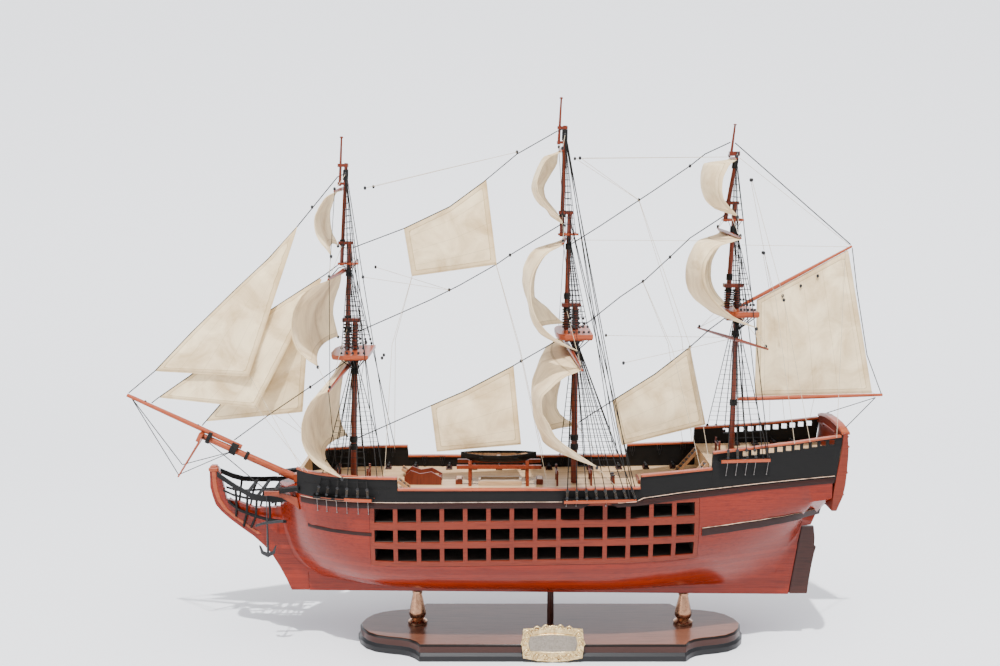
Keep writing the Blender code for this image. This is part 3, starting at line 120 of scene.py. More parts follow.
def make_lamp(name, kind, place, aim, energy, size):
    lamp = bpy.data.lights.new(name, kind)
    lamp.energy = energy
    if kind == "AREA":
        lamp.shape = "RECTANGLE"
        lamp.size, lamp.size_y = size
    else:
        lamp.angle = math.radians(size)
    holder = bpy.data.objects.new(name, lamp)
    bpy.context.scene.collection.objects.link(holder)
    holder.location = place
    holder.rotation_euler = (Vector(aim) - Vector(place)).to_track_quat("-Z", "Y").to_euler()


def make_floor():
    shape = bmesh.new()
    bmesh.ops.create_grid(shape, x_segments=2, y_segments=96, size=6.0)
    for vert in shape.verts:
        past = max(0.0, vert.co.y - 0.9)
        vert.co.z = 0.32 * past * past if past < 1.0 else 0.64 * past - 0.32
    for face in shape.faces:
        face.smooth = True
    mesh = bpy.data.meshes.new("studio_floor")
    shape.to_mesh(mesh)
    shape.free()
    floor = bpy.data.objects.new("studio_floor", mesh)
    bpy.context.scene.collection.objects.link(floor)
    look = bpy.data.materials.new("studio_paper")
    look.use_nodes = True
    shader = look.node_tree.nodes["Principled BSDF"]
    shader.inputs["Base Color"].default_value = (0.86, 0.87, 0.90, 1.0)
    shader.inputs["Roughness"].default_value = 0.6
    mesh.materials.append(look)
    floor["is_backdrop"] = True


make_camera()
make_floor()
world = bpy.data.worlds.new("studio_surround")
world.use_nodes = True
world.node_tree.nodes["Background"].inputs["Color"].default_value = (0.90, 0.93, 1.0, 1.0)
world.node_tree.nodes["Background"].inputs["Strength"].default_value = 0.78
bpy.context.scene.world = world
make_lamp("overhead_softbox", "AREA", (0.3, -0.6, 2.3), (0.0, 0.0, 0.2), 55.0, (2.6, 1.6))
make_lamp("bow_softbox", "AREA", (-1.8, -1.4, 0.6), (-0.1, 0.0, 0.2), 17.0, (1.2, 1.6))
make_lamp("small_sun", "SUN", (-0.08, -0.85, 1.9), (0.0, 0.0, 0.0), 5.4, 1.2)
print("camera and three lamps")

# %% [markdown]
# ## Varnished and painted wood
# Hull, spars and base are turned or planked hardwood under a glossy varnish. A grain could
# be an image, but a stretched noise keeps its scale on every part and needs no file. One
# function makes them all: long grain, and planks with a dark seam where asked.

# %% Wood finishes
def new_material(name, rough=0.4, coat=0.0, metal=0.0):
    made = bpy.data.materials.new(name)
    made.use_nodes = True
    tree = made.node_tree
    shader = tree.nodes["Principled BSDF"]
    shader.inputs["Roughness"].default_value = rough
    shader.inputs["Coat Weight"].default_value = coat
    shader.inputs["Coat Roughness"].default_value = 0.12
    shader.inputs["Metallic"].default_value = metal
    shader.inputs["Specular IOR Level"].default_value = 0.5 if metal else 0.22
    return made, tree, shader


def link_node(tree, kind, inputs=(), **settings):
    """A new node with its settings, and its inputs linked or set by socket number or name."""
    made = tree.nodes.new(kind)
    for key, value in settings.items():
        setattr(made, key, value)
    for key, value in dict(inputs).items():
        socket = made.inputs[key]
        if isinstance(value, bpy.types.NodeSocket):
            tree.links.new(value, socket)
        else:
            socket.default_value = value
    return made


def ramp(tree, factor, stops, between="LINEAR"):
    made = link_node(tree, "ShaderNodeValToRGB", {"Fac": factor})
    made.color_ramp.interpolation = between
    band = made.color_ramp.elements
    while len(band) < len(stops):
        band.new(0.5)
    for element, (place, colour) in zip(band, stops):
        element.position = place
        element.color = (*colour, 1.0)
    return made.outputs["Color"]


def math_node(tree, operation, first, second=0.0, clamp=False):
    made = link_node(tree, "ShaderNodeMath", {0: first, 1: second}, operation=operation)
    made.use_clamp = clamp
    return made.outputs[0]


def mix_colour(tree, factor, first, second, blend="MIX"):
    made = link_node(tree, "ShaderNodeMix", {0: factor, 6: first, 7: second}, data_type="RGBA")
    made.blend_type = blend
    return made.outputs[2]


def object_coords(tree):
    return link_node(tree, "ShaderNodeTexCoord").outputs["Object"]


def raise_surface(tree, shader, height, strength, depth):
    raised = link_node(tree, "ShaderNodeBump", {"Height": height, "Strength": strength,
                       "Distance": depth})
    tree.links.new(raised.outputs[0], shader.inputs["Normal"])


def darker(colour, red, green, blue):
    return colour[0] * red, colour[1] * green, colour[2] * blue, 1.0


def grain(tree, along, coords, scale=1.0):
    stretch = [650.0, 650.0, 650.0]
    stretch["XYZ".index(along)] = 34.0
    stretch = [value * scale for value in stretch]
    mapped = link_node(tree, "ShaderNodeMapping", {"Vector": coords, "Scale": stretch})
    fibres = link_node(tree, "ShaderNodeTexNoise", {"Vector": mapped.outputs[0], "Scale": 1.0,
                       "Detail": 5.0, "Roughness": 0.62, "Distortion": 0.35})
    return fibres.outputs[0]


def wood(name, dark, light, along="X", rough=0.34, coat=0.1, plank=0.0, across="Z",
         seam=0.55, fine=1.0):
    made, tree, shader = new_material(name, rough, coat)
    coords = object_coords(tree)
    fibres = grain(tree, along, coords, fine)
    cloud = link_node(tree, "ShaderNodeTexNoise", {"Vector": coords, "Scale": 9.0, "Detail": 3.0})
    colour = ramp(tree, fibres, ((0.25, dark), (0.55, light), (0.8, dark)))
    tint = ramp(tree, cloud.outputs[0], ((0.3, (0.78, 0.76, 0.74)), (0.7, (1.0, 1.0, 1.0))))
    colour = mix_colour(tree, 1.0, colour, tint, "MULTIPLY")
    height = math_node(tree, "MULTIPLY", fibres, 0.25)
    if plank:
        split = link_node(tree, "ShaderNodeSeparateXYZ", {0: coords})
        count = math_node(tree, "DIVIDE", split.outputs["XYZ".index(across)], plank * MM)
        whole = math_node(tree, "FLOOR", count)
        step = link_node(tree, "ShaderNodeTexWhiteNoise", {"W": whole}, noise_dimensions="1D")
        shade = ramp(tree, step.outputs[0], ((0.0, (0.80, 0.78, 0.76)), (1.0, (1.0, 1.0, 1.0))))
        colour = mix_colour(tree, 1.0, colour, shade, "MULTIPLY")
        near = math_node(tree, "PINGPONG", count, 0.5)
        edge = math_node(tree, "LESS_THAN", near, 0.045)
        gap = math_node(tree, "MULTIPLY", edge, seam)
        colour = mix_colour(tree, gap, colour, darker(dark, 0.3, 0.3, 0.3))
        height = math_node(tree, "SUBTRACT", height, edge)
    tree.links.new(colour, shader.inputs["Base Color"])
    raise_surface(tree, shader, height, 0.22, 0.0004)
    return made


looks = {
    "hull_wood": wood("planked_hull_varnish", (0.120, 0.0072, 0.0016), (0.240, 0.0175, 0.0035),
                      rough=0.26, coat=0.14, plank=5.4, seam=0.30),
    "frame_wood": wood("bay_frame_varnish", (0.100, 0.011, 0.004), (0.190, 0.026, 0.010), coat=0.06),
    "black_paint": wood("black_painted_wood", (0.0018, 0.0015, 0.0013), (0.0040, 0.0034, 0.0030),
                        rough=0.6, coat=0.0),
    "bay_dark": wood("bay_inside_paint", (0.026, 0.020, 0.017), (0.070, 0.056, 0.048), rough=0.6,
                     coat=0.0),
    "dark_wood": wood("dark_wale_varnish", (0.022, 0.006, 0.004), (0.050, 0.013, 0.008), coat=0.08),
    "wale_wood": wood("wale_varnish", (0.011, 0.0024, 0.0014), (0.024, 0.0050, 0.0028), rough=0.55,
                      coat=0.0),
    "mast_wood": wood("mast_varnish", (0.075, 0.014, 0.007), (0.165, 0.030, 0.014), along="Z"),
    "spar_wood": wood("spar_varnish", (0.125, 0.019, 0.007), (0.235, 0.042, 0.015), along="Y"),
    "rail_wood": wood("cap_rail_varnish", (0.200, 0.034, 0.011), (0.370, 0.076, 0.028)),
    # The bead is a thin moulding in lighter wood; its pale dashes on dark are painted highlights, the glints
    # along it.
    "bead": wood("bead_with_painted_glints", (0.060, 0.020, 0.010), (0.72, 0.50, 0.36), along="Y", rough=0.3,
                 fine=0.12),
    "deck_wood": wood("pale_deck_planks", (0.46, 0.285, 0.15), (0.76, 0.53, 0.31), rough=0.45,
                      coat=0.10, plank=3.6, across="Y", seam=0.7),
    "pale_wood": wood("pale_ladder_wood", (0.30, 0.15, 0.07), (0.48, 0.27, 0.14)),
}
print("wood finishes", len(looks))

# %% [markdown]
# ## Metal, thread and canvas
# The pedestals are pink-gold brass, the plate is cast and gilt, anchors and guns are cast
# and blackened. Standing lines are tarred black thread, running lines plain cotton. The
# sails are cream cotton: their hems and seams follow each cloth, so that finish reads the
# piece's own UV map and its distance from the edge, which a noise in space can't give.

# %% Metal, thread and canvas finishes
def cast_metal(name, dark, light, rough, metal, bump=0.25, scale=240.0):
    made, tree, shader = new_material(name, rough, 0.0, metal)
    coords = object_coords(tree)
    spots = link_node(tree, "ShaderNodeTexNoise", {"Vector": coords, "Scale": scale,
                      "Detail": 4.0, "Roughness": 0.6})
    tree.links.new(ramp(tree, spots.outputs[0], ((0.3, dark), (0.7, light))),
                   shader.inputs["Base Color"])
    wear = link_node(tree, "ShaderNodeMapRange", {0: spots.outputs[0], 3: rough * 0.7,
                     4: min(1.0, rough * 1.4)})
    tree.links.new(wear.outputs[0], shader.inputs["Roughness"])
    raise_surface(tree, shader, spots.outputs[0], bump, 0.0003)
    return made


def thread(name, dark, light):
    made, tree, shader = new_material(name, 0.75)
    coords = object_coords(tree)
    lay = link_node(tree, "ShaderNodeTexWave", {"Vector": coords, "Scale": 420.0,
                    "Distortion": 1.5}, bands_direction="DIAGONAL")
    tree.links.new(ramp(tree, lay.outputs["Fac"], ((0.2, dark), (0.8, light))),
                   shader.inputs["Base Color"])
    raise_surface(tree, shader, lay.outputs["Fac"], 0.4, 0.0002)
    return made


HEM_MM = 5.0


def canvas(name, dark, light):
    made, tree, shader = new_material(name, 0.88)
    shader.inputs["Sheen Weight"].default_value = 0.15
    coords = link_node(tree, "ShaderNodeTexCoord")
    cloud = link_node(tree, "ShaderNodeTexNoise", {"Vector": coords.outputs["Object"],
                      "Scale": 28.0, "Detail": 5.0, "Roughness": 0.6, "Distortion": 0.6})
    colour = ramp(tree, cloud.outputs[0], ((0.3, dark), (0.62, light)))
    weave = []
    for axis in ("X", "Y"):
        threads = link_node(tree, "ShaderNodeTexWave", {"Vector": coords.outputs["UV"],
                            "Scale": 70.0, "Distortion": 0.4}, bands_direction=axis)
        weave.append(threads.outputs["Fac"])
    weave = math_node(tree, "ADD", weave[0], weave[1])
    edge = link_node(tree, "ShaderNodeAttribute", attribute_name="edge_mm").outputs["Fac"]
    hem = math_node(tree, "LESS_THAN", edge, HEM_MM)
    stitch = math_node(tree, "LESS_THAN", math_node(tree, "ABSOLUTE",
                       math_node(tree, "SUBTRACT", edge, HEM_MM)), 0.32)
    split = link_node(tree, "ShaderNodeSeparateXYZ", {0: coords.outputs["UV"]})
    cloth = math_node(tree, "PINGPONG", math_node(tree, "MULTIPLY", split.outputs[0], 10.0 / 2.6),
                      0.5)
    seam = math_node(tree, "LESS_THAN", cloth, 0.012)
    sewn = math_node(tree, "MAXIMUM", stitch, math_node(tree, "MULTIPLY", seam, 0.5))
    colour = mix_colour(tree, math_node(tree, "MULTIPLY", hem, 0.35), colour,
                        darker(dark, 0.9, 0.86, 0.8))
    colour = mix_colour(tree, math_node(tree, "MULTIPLY", sewn, 0.55), colour,
                        darker(dark, 0.5, 0.43, 0.34))
    tree.links.new(colour, shader.inputs["Base Color"])
    height = math_node(tree, "ADD", math_node(tree, "MULTIPLY", weave, 0.12), hem)
    height = math_node(tree, "SUBTRACT", height, sewn)
    height = math_node(tree, "ADD", height, math_node(tree, "MULTIPLY", cloud.outputs[0], 1.2))
    raise_surface(tree, shader, height, 0.45, 0.0006)
    return made


looks["brass"] = cast_metal("rose_brass", (0.26, 0.13, 0.075), (0.46, 0.26, 0.16), 0.26, 1.0, 0.05)
looks["gold"] = cast_metal("cast_gilt", (0.42, 0.27, 0.12), (0.86, 0.68, 0.36), 0.34, 1.0, 0.5)
looks["panel"] = cast_metal("pale_plate_panel", (0.20, 0.17, 0.135), (0.33, 0.29, 0.24), 0.38,
                            0.85, 0.05, 600.0)
looks["iron"] = cast_metal("blackened_iron", (0.010, 0.010, 0.011), (0.030, 0.030, 0.032), 0.42,
                           0.4)
looks["chain"] = cast_metal("bright_chain_iron", (0.11, 0.10, 0.095), (0.30, 0.28, 0.265), 0.35, 0.8)
looks["tarred"] = thread("tarred_thread", (0.004, 0.004, 0.004), (0.018, 0.017, 0.016))
looks["cotton"] = thread("cotton_thread", (0.36, 0.28, 0.19), (0.66, 0.56, 0.42))
looks["waxed"] = thread("waxed_lanyard_thread", (0.05, 0.038, 0.028), (0.17, 0.135, 0.10))
looks["canvas"] = canvas("cream_sailcloth", (0.58, 0.41, 0.215), (0.95, 0.77, 0.48))
print("finishes", sorted(looks))

# %% [markdown]
# ## Helpers that finish a piece
# Every new piece ends the same way: normals out, edges sharper than a given angle kept
# crisp, a finish and a body to ride on. A solid whose form is right is copied, its
# doubles merged and its faces smoothed, because the loose triangles of a solid show facets.

# %% Finish, copy and sweep helpers
def add_piece(name, mesh, look, body="ship"):
    mesh.name = name
    made = bpy.data.objects.new(name, mesh)
    bpy.context.scene.collection.objects.link(made)
    if look:
        mesh.materials.append(looks[look])
    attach(made, body)
    return made


def finish_shape(name, shape, look, body="ship", angle=35.0):
    bmesh.ops.recalc_face_normals(shape, faces=shape.faces)
    for face in shape.faces:
        face.smooth = True
    for edge in shape.edges:
        edge.smooth = edge.calc_face_angle(0.0) < math.radians(angle)
    mesh = bpy.data.meshes.new(name)
    shape.to_mesh(mesh)
    shape.free()
    return add_piece(name, mesh, look, body)


def soften(piece, width):
    edge = piece.modifiers.new("worn_edges", "BEVEL")
    edge.width = width * MM
    edge.segments = 2
    edge.limit_method = "ANGLE"
    edge.angle_limit = math.radians(40.0)
    edge.use_clamp_overlap = True


def solid_copy(node, name, look, body="ship", angle=35.0, bevel=0.0):
    shape = bmesh.new()
    shape.from_mesh(nodes[node].data)
    bmesh.ops.remove_doubles(shape, verts=shape.verts, dist=0.002 * MM)
    bmesh.ops.dissolve_limit(shape, angle_limit=0.004, verts=shape.verts, edges=shape.edges)
    piece = finish_shape(name, shape, look, body, angle)
    if bevel:
        soften(piece, bevel)
    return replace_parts(piece, node)


def sweep(shape, rings):
    """Skin over closed rings of points, closed at both ends."""
    loops = []
    for ring in rings:
        verts = [shape.verts.new(mm(*p)) for p in ring]
        pairs = zip(verts, verts[1:] + verts[:1])
        loops.append([shape.edges.new(pair) for pair in pairs])
    for first, second in zip(loops, loops[1:]):
        bmesh.ops.bridge_loops(shape, edges=first + second)
    for end in (loops[0], loops[-1]):
        bmesh.ops.contextual_create(shape, geom=end)


def put_box(shape, low, high, bevel=0.0, turn=None):
    made = bmesh.ops.create_cube(shape, size=1.0)["verts"]
    size = Vector([high[i] - low[i] for i in range(3)]) * MM
    middle = Vector([(high[i] + low[i]) / 2.0 for i in range(3)]) * MM
    bmesh.ops.scale(shape, vec=size, verts=made)
    if turn is not None:
        bmesh.ops.transform(shape, matrix=turn, verts=made)
    bmesh.ops.translate(shape, vec=middle, verts=made)
    if bevel:
        edges = list({edge for vert in made for edge in vert.link_edges})
        bmesh.ops.bevel(shape, geom=edges, offset=bevel * MM, affect="EDGES", segments=1,
                        profile=0.5, material=-1)


def put_rod(shape, start, end, low_r, top_r, sides=8):
    a, b = mm(*start), mm(*end)
    place = Matrix.Translation((a + b) / 2.0) @ (b - a).to_track_quat("Z", "Y").to_matrix().to_4x4()
    bmesh.ops.create_cone(shape, cap_ends=True, segments=sides, radius1=low_r * MM,
                          radius2=top_r * MM, depth=(b - a).length, matrix=place)


def ropes(name, lines, radius, look, sides=1):
    curve = bpy.data.curves.new(name, "CURVE")
    curve.dimensions = "3D"
    curve.bevel_depth = radius * MM
    curve.bevel_resolution = sides
    curve.use_fill_caps = True
    for line in lines:
        spline = curve.splines.new("POLY")
        spline.points.add(len(line) - 1)
        for target, p in zip(spline.points, line):
            target.co = (*mm(*p), 1.0)
    source = bpy.data.objects.new(name + "_path", curve)
    bpy.context.scene.collection.objects.link(source)
    bpy.context.view_layer.update()
    mesh = bpy.data.meshes.new_from_object(source.evaluated_get(
        bpy.context.evaluated_depsgraph_get()))
    bpy.data.objects.remove(source)
    bpy.data.curves.remove(curve)
    for polygon in mesh.polygons:
        polygon.use_smooth = True
    return add_piece(name, mesh, look)


def steps(low, high, count):
    return [low + (high - low) * i / count for i in range(count + 1)]


def blend(first, second, part):
    return [a + (b - a) * part for a, b in zip(first, second)]


print("helpers ready")

# %% [markdown]
# ## The planked hull
# The hull of the model is planked on frames and varnished, and three rows of bays are cut
# through each side. It could be built plank by plank, but on this scale the seams are a
# hair wide, so the measured body is smoothed and its finish draws the planks. What lies
# behind the bays is painted black, which is why they read as deep.

# %% Hull, bay frames and knee
SIDES = (("port", -1.0), ("starboard", 1.0))
AFT, FORWARD = Vector((1.0, 0.0, 0.0)), Vector((-1.0, 0.0, 0.0))
INBOARD, DOWN = Vector((0.0, 1.0, 0.0)), Vector((0.0, 0.0, -1.0))


def surface_tree(*names):
    """The surface of one or more solids, ready to be measured with a ray."""
    points, faces = [], []
    for node in names:
        mesh = nodes[node].data
        base = len(points)
        points += [vert.co.copy() for vert in mesh.vertices]
        faces += [[base + i for i in polygon.vertices] for polygon in mesh.polygons]
    return BVHTree.FromPolygons(points, faces)


def measure(tree, start, direction):
    """Where a ray first meets a surface, in mm, or None where it misses."""
    found = tree.ray_cast(mm(*start), direction)[0]
    return [value / MM for value in found] if found else None


PORT_SIDE = surface_tree("hull", "bay_frame_port", "bulwark_port")


def planking(x, z):
    """Half breadth of the ship's outer surface, measured on the port side."""
    found = measure(PORT_SIDE, (x, -200.0, z), INBOARD)
    return -found[1] if found else 0.0


hull = solid_copy("hull", "planked_hull", "hull_wood", angle=50.0)
hull.data.materials.append(looks["bay_dark"])
inside = 0
for polygon in hull.data.polygons:
    x, y, z = polygon.center / MM
    if -184.0 < x < 149.5 and 108.0 < z < 173.0 and abs(y) < planking(x, 104.0) - 1.0:
        if abs(polygon.normal.y) < 0.9 or abs(y) < 30.0:
            polygon.material_index = 1
            inside += 1
for side_name, _ in SIDES:
    solid_copy("bay_frame_" + side_name, "bay_framing_" + side_name, "frame_wood",
               bevel=0.35)
solid_copy("knee_of_head", "stem_knee", "hull_wood", bevel=0.5)
solid_copy("rudder", "hung_rudder", "dark_wood", body="rudder", bevel=0.3)
print("hull faces painted black inside the bays", inside)

# %% [markdown]
# ## Bulwarks, decks and stern
# Above the deck line the topsides are painted black and capped with a varnished rail. The
# rail could be left in the wall's own colour, but its pale line is what draws the sheer,
# so it is swept as a piece of its own along the top of each wall.

# %% Bulwarks, cap rails and decks
RAIL_LINE = ((-266.0, 202.8), (-250.0, 201.0), (-200.0, 200.0), (-159.4, 200.0),
             (-158.6, 188.5), (0.0, 188.5), (87.6, 189.5), (88.4, 202.0), (161.6, 207.0),
             (162.4, 223.5), (200.0, 227.0), (250.0, 232.0), (296.0, 238.0))


def rail_top(x):
    for (x0, z0), (x1, z1) in zip(RAIL_LINE, RAIL_LINE[1:]):
        if x <= x1:
            return z0 + (z1 - z0) * (x - x0) / (x1 - x0)
    return RAIL_LINE[-1][1]


def mirrored(ring, sign):
    return [(x, y * sign, z) for x, y, z in ring]


def rail_runs():
    marks = [x for x, _ in RAIL_LINE]
    runs = []
    for first, last in ((0, 3), (4, 6), (7, 8), (9, 12)):
        low, high = marks[first], marks[last]
        runs.append(steps(low, high, max(2, round((high - low) / 12.0))))
    return runs


for label, sign in SIDES:
    solid_copy("bulwark_" + label, "bulwark_wall_" + label, "black_paint",
               bevel=0.25)
    shape = bmesh.new()
    for run in rail_runs():
        rings = []
        for x in run:
            top, half = rail_top(x), planking(x, rail_top(x) - 2.6)
            ring = [(x, half + 1.5, top - 1.5), (x, half + 1.5, top + 0.1), (x, half + 1.0, top + 0.5),
                    (x, half - 4.0, top + 0.5), (x, half - 4.5, top + 0.1), (x, half - 4.5, top - 1.5)]
            rings.append(mirrored(ring, sign))
        sweep(shape, rings)
    finish_shape("cap_rail_" + label, shape, "rail_wood")
for node in ("main_deck", "poop_deck", "main_hatch"):
    nodes[node].data.materials[0] = looks["deck_wood"]
solid_copy("stern_board", "stern_face", "frame_wood", bevel=0.6)
solid_copy("head_rails", "head_grating", "black_paint", bevel=0.3)
print("bulwarks and rails done")

# %% [markdown]
# ## The display stand
# The board is a broad moulded plinth: a varnished top over a black moulded edge. The turned
# pedestals are brass and the rod is a dark dowel. A board could take one colour, but the
# real edge is banded by height, so its finish reads the height of each point.

# %% Plinth, pedestals and rod
PLINTH_HIGH = 18.5
TOP_FACE = 0.965


def plinth_finish():
    """Varnish on the top face, which starts at a share of the height, and dark bands below."""
    made = wood("plinth_varnish", (0.085, 0.030, 0.017), (0.165, 0.064, 0.038), rough=0.30,
                coat=0.12, fine=0.7)
    tree = made.node_tree
    shader = tree.nodes["Principled BSDF"]
    top_colour = shader.inputs["Base Color"].links[0].from_socket
    coords = object_coords(tree)
    height = link_node(tree, "ShaderNodeSeparateXYZ", {0: coords}).outputs[2]
    level = math_node(tree, "DIVIDE", height, PLINTH_HIGH * MM)
    bands = ramp(tree, level, ((0.0, (0.010, 0.010, 0.011)), (0.50, (0.040, 0.014, 0.010)),
                               (0.84, (0.008, 0.005, 0.004)), (TOP_FACE, (1.0, 1.0, 1.0))),
                 "CONSTANT")
    is_top = math_node(tree, "GREATER_THAN", level, TOP_FACE)
    tree.links.new(mix_colour(tree, is_top, bands, top_colour), shader.inputs["Base Color"])
    return made


looks["plinth_wood"] = plinth_finish()
solid_copy("base_board", "moulded_plinth", "plinth_wood", angle=25.0, bevel=0.8)
for node in ("fore_pedestal", "aft_pedestal"):
    solid_copy(node, "turned_" + node, "brass", angle=50.0)
solid_copy("centre_rod", "dowel_rod", "dark_wood", angle=60.0)

# %% [markdown]
# ## The cast plate
# A gilt plate stands against the front of the board: leaf scrolls around a pale, empty
# panel. Scrolls could be carved from a block, but each one is a strip that coils up, so
# bevelled curves that thin out toward the coil give the cast look with few faces.

# %% Plate, panel and scroll frame
PLATE_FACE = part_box("name_plate")[0][1] / MM
solid_copy("name_plate", "cast_plate", "gold", bevel=0.5)


def coil(x, z, reach, turn, start, twist, count=26):
    """A scroll that winds in from its outer end; twist is its direction."""
    made = []
    for i in range(count + 1):
        part = i / count
        angle = start + twist * turn * part
        out = reach * (1.0 - 0.86 * part)
        made.append((x + out * math.cos(angle), PLATE_FACE - 0.2 - 0.5 * part,
                     z + out * math.sin(angle)))
    return made


scrolls = []
for side in (-1.0, 1.0):
    for x, z, reach, turn, start, twist in (
        (27.0, 31.0, 5.2, 9.0, 3.3, -1.0), (28.5, 21.5, 4.6, 8.5, 1.6, -1.0),
        (27.0, 11.5, 5.0, 9.0, 3.0, 1.0), (17.0, 36.2, 4.4, 8.0, 3.2, -1.0),
        (8.0, 38.0, 4.0, 8.0, 3.2, -1.0), (16.0, 7.0, 4.4, 8.0, 3.2, 1.0),
        (7.5, 6.2, 3.8, 8.0, 3.2, 1.0),
    ):
        scrolls.append([(side * px, py, pz) for px, py, pz in coil(x, z, reach, turn, start, twist)])
ropes("plate_scrolls", scrolls, 0.95, "gold", sides=2)
PANEL_Z = 21.5
PANEL = ((-23.5, 13.5), (-25.5, 21.5), (-23.5, 29.5), (-10.0, 30.8), (0.0, 31.4), (10.0, 30.8),
         (23.5, 29.5), (25.5, 21.5), (23.5, 13.5), (10.0, 12.4), (0.0, 12.0), (-10.0, 12.4))
shape = bmesh.new()
sweep(shape, [[(x * grow, PLATE_FACE - y, PANEL_Z + (z - PANEL_Z) * grow) for x, z in PANEL]
              for y, grow in ((-0.6, 1.0), (0.7, 1.0), (1.0, 0.97))])
finish_shape("blank_panel", shape, "panel", angle=25.0)
ropes("panel_rim", [[(x * 1.03, PLATE_FACE - 0.7, PANEL_Z + (z - PANEL_Z) * 1.03)
                     for x, z in PANEL + PANEL[:2]]], 0.7, "gold", sides=2)
shape = bmesh.new()
for x, z, size in ((0.0, 37.0, 3.0), (-31.5, 21.5, 1.9), (31.5, 21.5, 1.9), (0.0, 6.0, 2.6),
                   (-22.0, 35.0, 1.6), (22.0, 35.0, 1.6), (-22.0, 8.0, 1.6), (22.0, 8.0, 1.6)):
    for k in range(5):
        angle = math.radians((90.0 if z > PANEL_Z else 270.0) + 36.0 * (k - 2))
        spot = mm(x + 0.75 * size * math.cos(angle), PLATE_FACE - 0.2,
                  z + 0.75 * size * math.sin(angle))
        place = Matrix.Translation(spot) @ Matrix.Rotation(-angle, 4, "Y")
        place = place @ Matrix.Diagonal((size * 0.75 * MM, 0.8 * MM, size * 0.26 * MM, 1.0))
        bmesh.ops.create_icosphere(shape, subdivisions=2, radius=1.0, matrix=place)
finish_shape("plate_leaves", shape, "gold", angle=80.0)
print("plate face at", round(PLATE_FACE, 2), "mm, scrolls", len(scrolls))

# %% [markdown]
# ## Masts, tops and spars
# Each mast is three sticks, doubled where they meet. The sticks are dark, the platforms
# and crosstrees are the lighter varnish of the rails. The measured solids already have the
# right forms, so they are smoothed and painted by height, and the yards get their fittings.

# %% Mast tables
# Masts: lower mast with its top; topmast and topgallant mast with their trees
# name, foot x, foot z, head x, head z, foot radius, head radius
LOWER_MASTS = (
    ("fore", -212.5, 177.4, -207.6, 350.0, 3.3, 2.8),
    ("main", 24.6, 176.1, 24.2, 366.0, 3.6, 3.1),
    ("mizzen", 192.8, 207.6, 194.3, 386.5, 3.0, 2.6),
)
# name, fore edge, after edge, half width, underside, upper side
TOPS = (
    ("fore", -231.5, -190.5, 38.0, 314.9, 319.9),
    ("main", 3.0, 40.5, 38.0, 335.4, 341.6),
    ("mizzen", 180.5, 212.0, 30.0, 357.8, 363.8),
)
# name, foot x, foot z, head x, head z, foot radius, head radius
TOPMASTS = (
    ("fore", -216.6, 320.3, -212.3, 434.0, 2.6, 2.3),
    ("main", 14.7, 342.0, 17.6, 465.5, 2.7, 2.4),
    ("mizzen", 184.2, 364.2, 189.7, 475.5, 2.6, 2.3),
)
GALLANTS = (
    ("fore", -221.0, 409.5, -214.3, 515.9, 2.1, 1.9),
    ("main", 9.3, 440.0, 12.2, 554.2, 2.4, 2.1),
    ("mizzen", 179.4, 455.4, 190.5, 526.6, 2.3, 2.0),
)
ROYALS = (
    ("fore", -221.3, 492.3, -218.6, 543.2, 1.6, 1.1),
    ("main", 5.6, 534.8, 8.1, 583.0, 1.6, 1.1),
    ("mizzen", 184.0, 523.6, 187.5, 555.9, 1.5, 1.1),
)
# name, underside of the crosstrees
TREES = (("fore", 410.6), ("main", 441.2), ("mizzen", 456.0))
# mast, fore and after face, underside and top of the blocks that hold the royal poles
ROYAL_BLOCKS = (
    ("fore", -223.0, -212.2, 511.8, 515.2),
    ("fore", -223.3, -213.4, 493.4, 496.2),
    ("main", 4.1, 14.8, 550.5, 553.5),
    ("main", 3.8, 13.9, 535.6, 538.4),
    ("mizzen", 182.0, 192.8, 523.2, 527.8),
)


MAST_TABLES = {"lower": LOWER_MASTS, "top": TOPMASTS, "gallant": GALLANTS}


def row_of(table, name):
    return next(row for row in table if row[0] == name)


def mast_at(table, name, z):
    """Axis position and radius of a mast at a height."""
    row = row_of(table, name)
    part = (z - row[2]) / (row[4] - row[2])
    return row[1] + part * (row[3] - row[1]), row[5] + part * (row[6] - row[5])


# name, mast, table the yard's centre lies before, centre height, near end x, near end z,
# half length, middle radius, tip radius
YARDS = (
    ("fore_course_yard", "fore", "lower", 304.5, -220.0, 298.3, 118.0, 2.6, 1.2),
    ("fore_topsail_yard", "fore", "top", 404.8, -221.9, 403.6, 92.0, 2.2, 1.0),
    ("fore_topgallant_yard", "fore", "gallant", 489.5, -218.9, 488.0, 60.0, 1.5, 0.8),
    ("main_course_yard", "main", "lower", 322.5, 24.0, 318.3, 118.0, 2.7, 1.2),
    ("main_topsail_yard", "main", "top", 436.5, 6.0, 438.5, 92.0, 2.3, 1.0),
    ("main_topgallant_yard", "main", "gallant", 529.5, 6.4, 527.8, 60.0, 1.5, 0.8),
    ("crossjack_yard", "mizzen", "lower", 333.0, 211.0, 332.5, 76.0, 2.0, 1.0),
    ("mizzen_topsail_yard", "mizzen", "top", 443.6, 183.3, 442.0, 66.0, 1.8, 0.9),
    ("mizzen_topgallant_yard", "mizzen", "gallant", 521.0, 181.0, 520.1, 46.0, 1.3, 0.7),
)


def yard_line(row):
    """Centre and the two ends of a yard that lies just before its mast."""
    _, mast, kind, centre_z, near_x, near_z, half, middle_r, _ = row
    mast_x, mast_r = mast_at(MAST_TABLES[kind], mast, centre_z)
    centre_x = mast_x - mast_r - middle_r - 0.35
    swing, cant = near_x - centre_x, near_z - centre_z
    near = (centre_x + swing, -half, centre_z + cant)
    far = (centre_x - swing, half, centre_z - cant)
    return (centre_x, 0.0, centre_z), near, far


def yard_end(row, sign):
    """The port end of a yard for a sign of -1, the starboard end for 1."""
    return yard_line(row)[1 if sign < 0 else 2]


print("masts", len(LOWER_MASTS), "yards", len(YARDS))

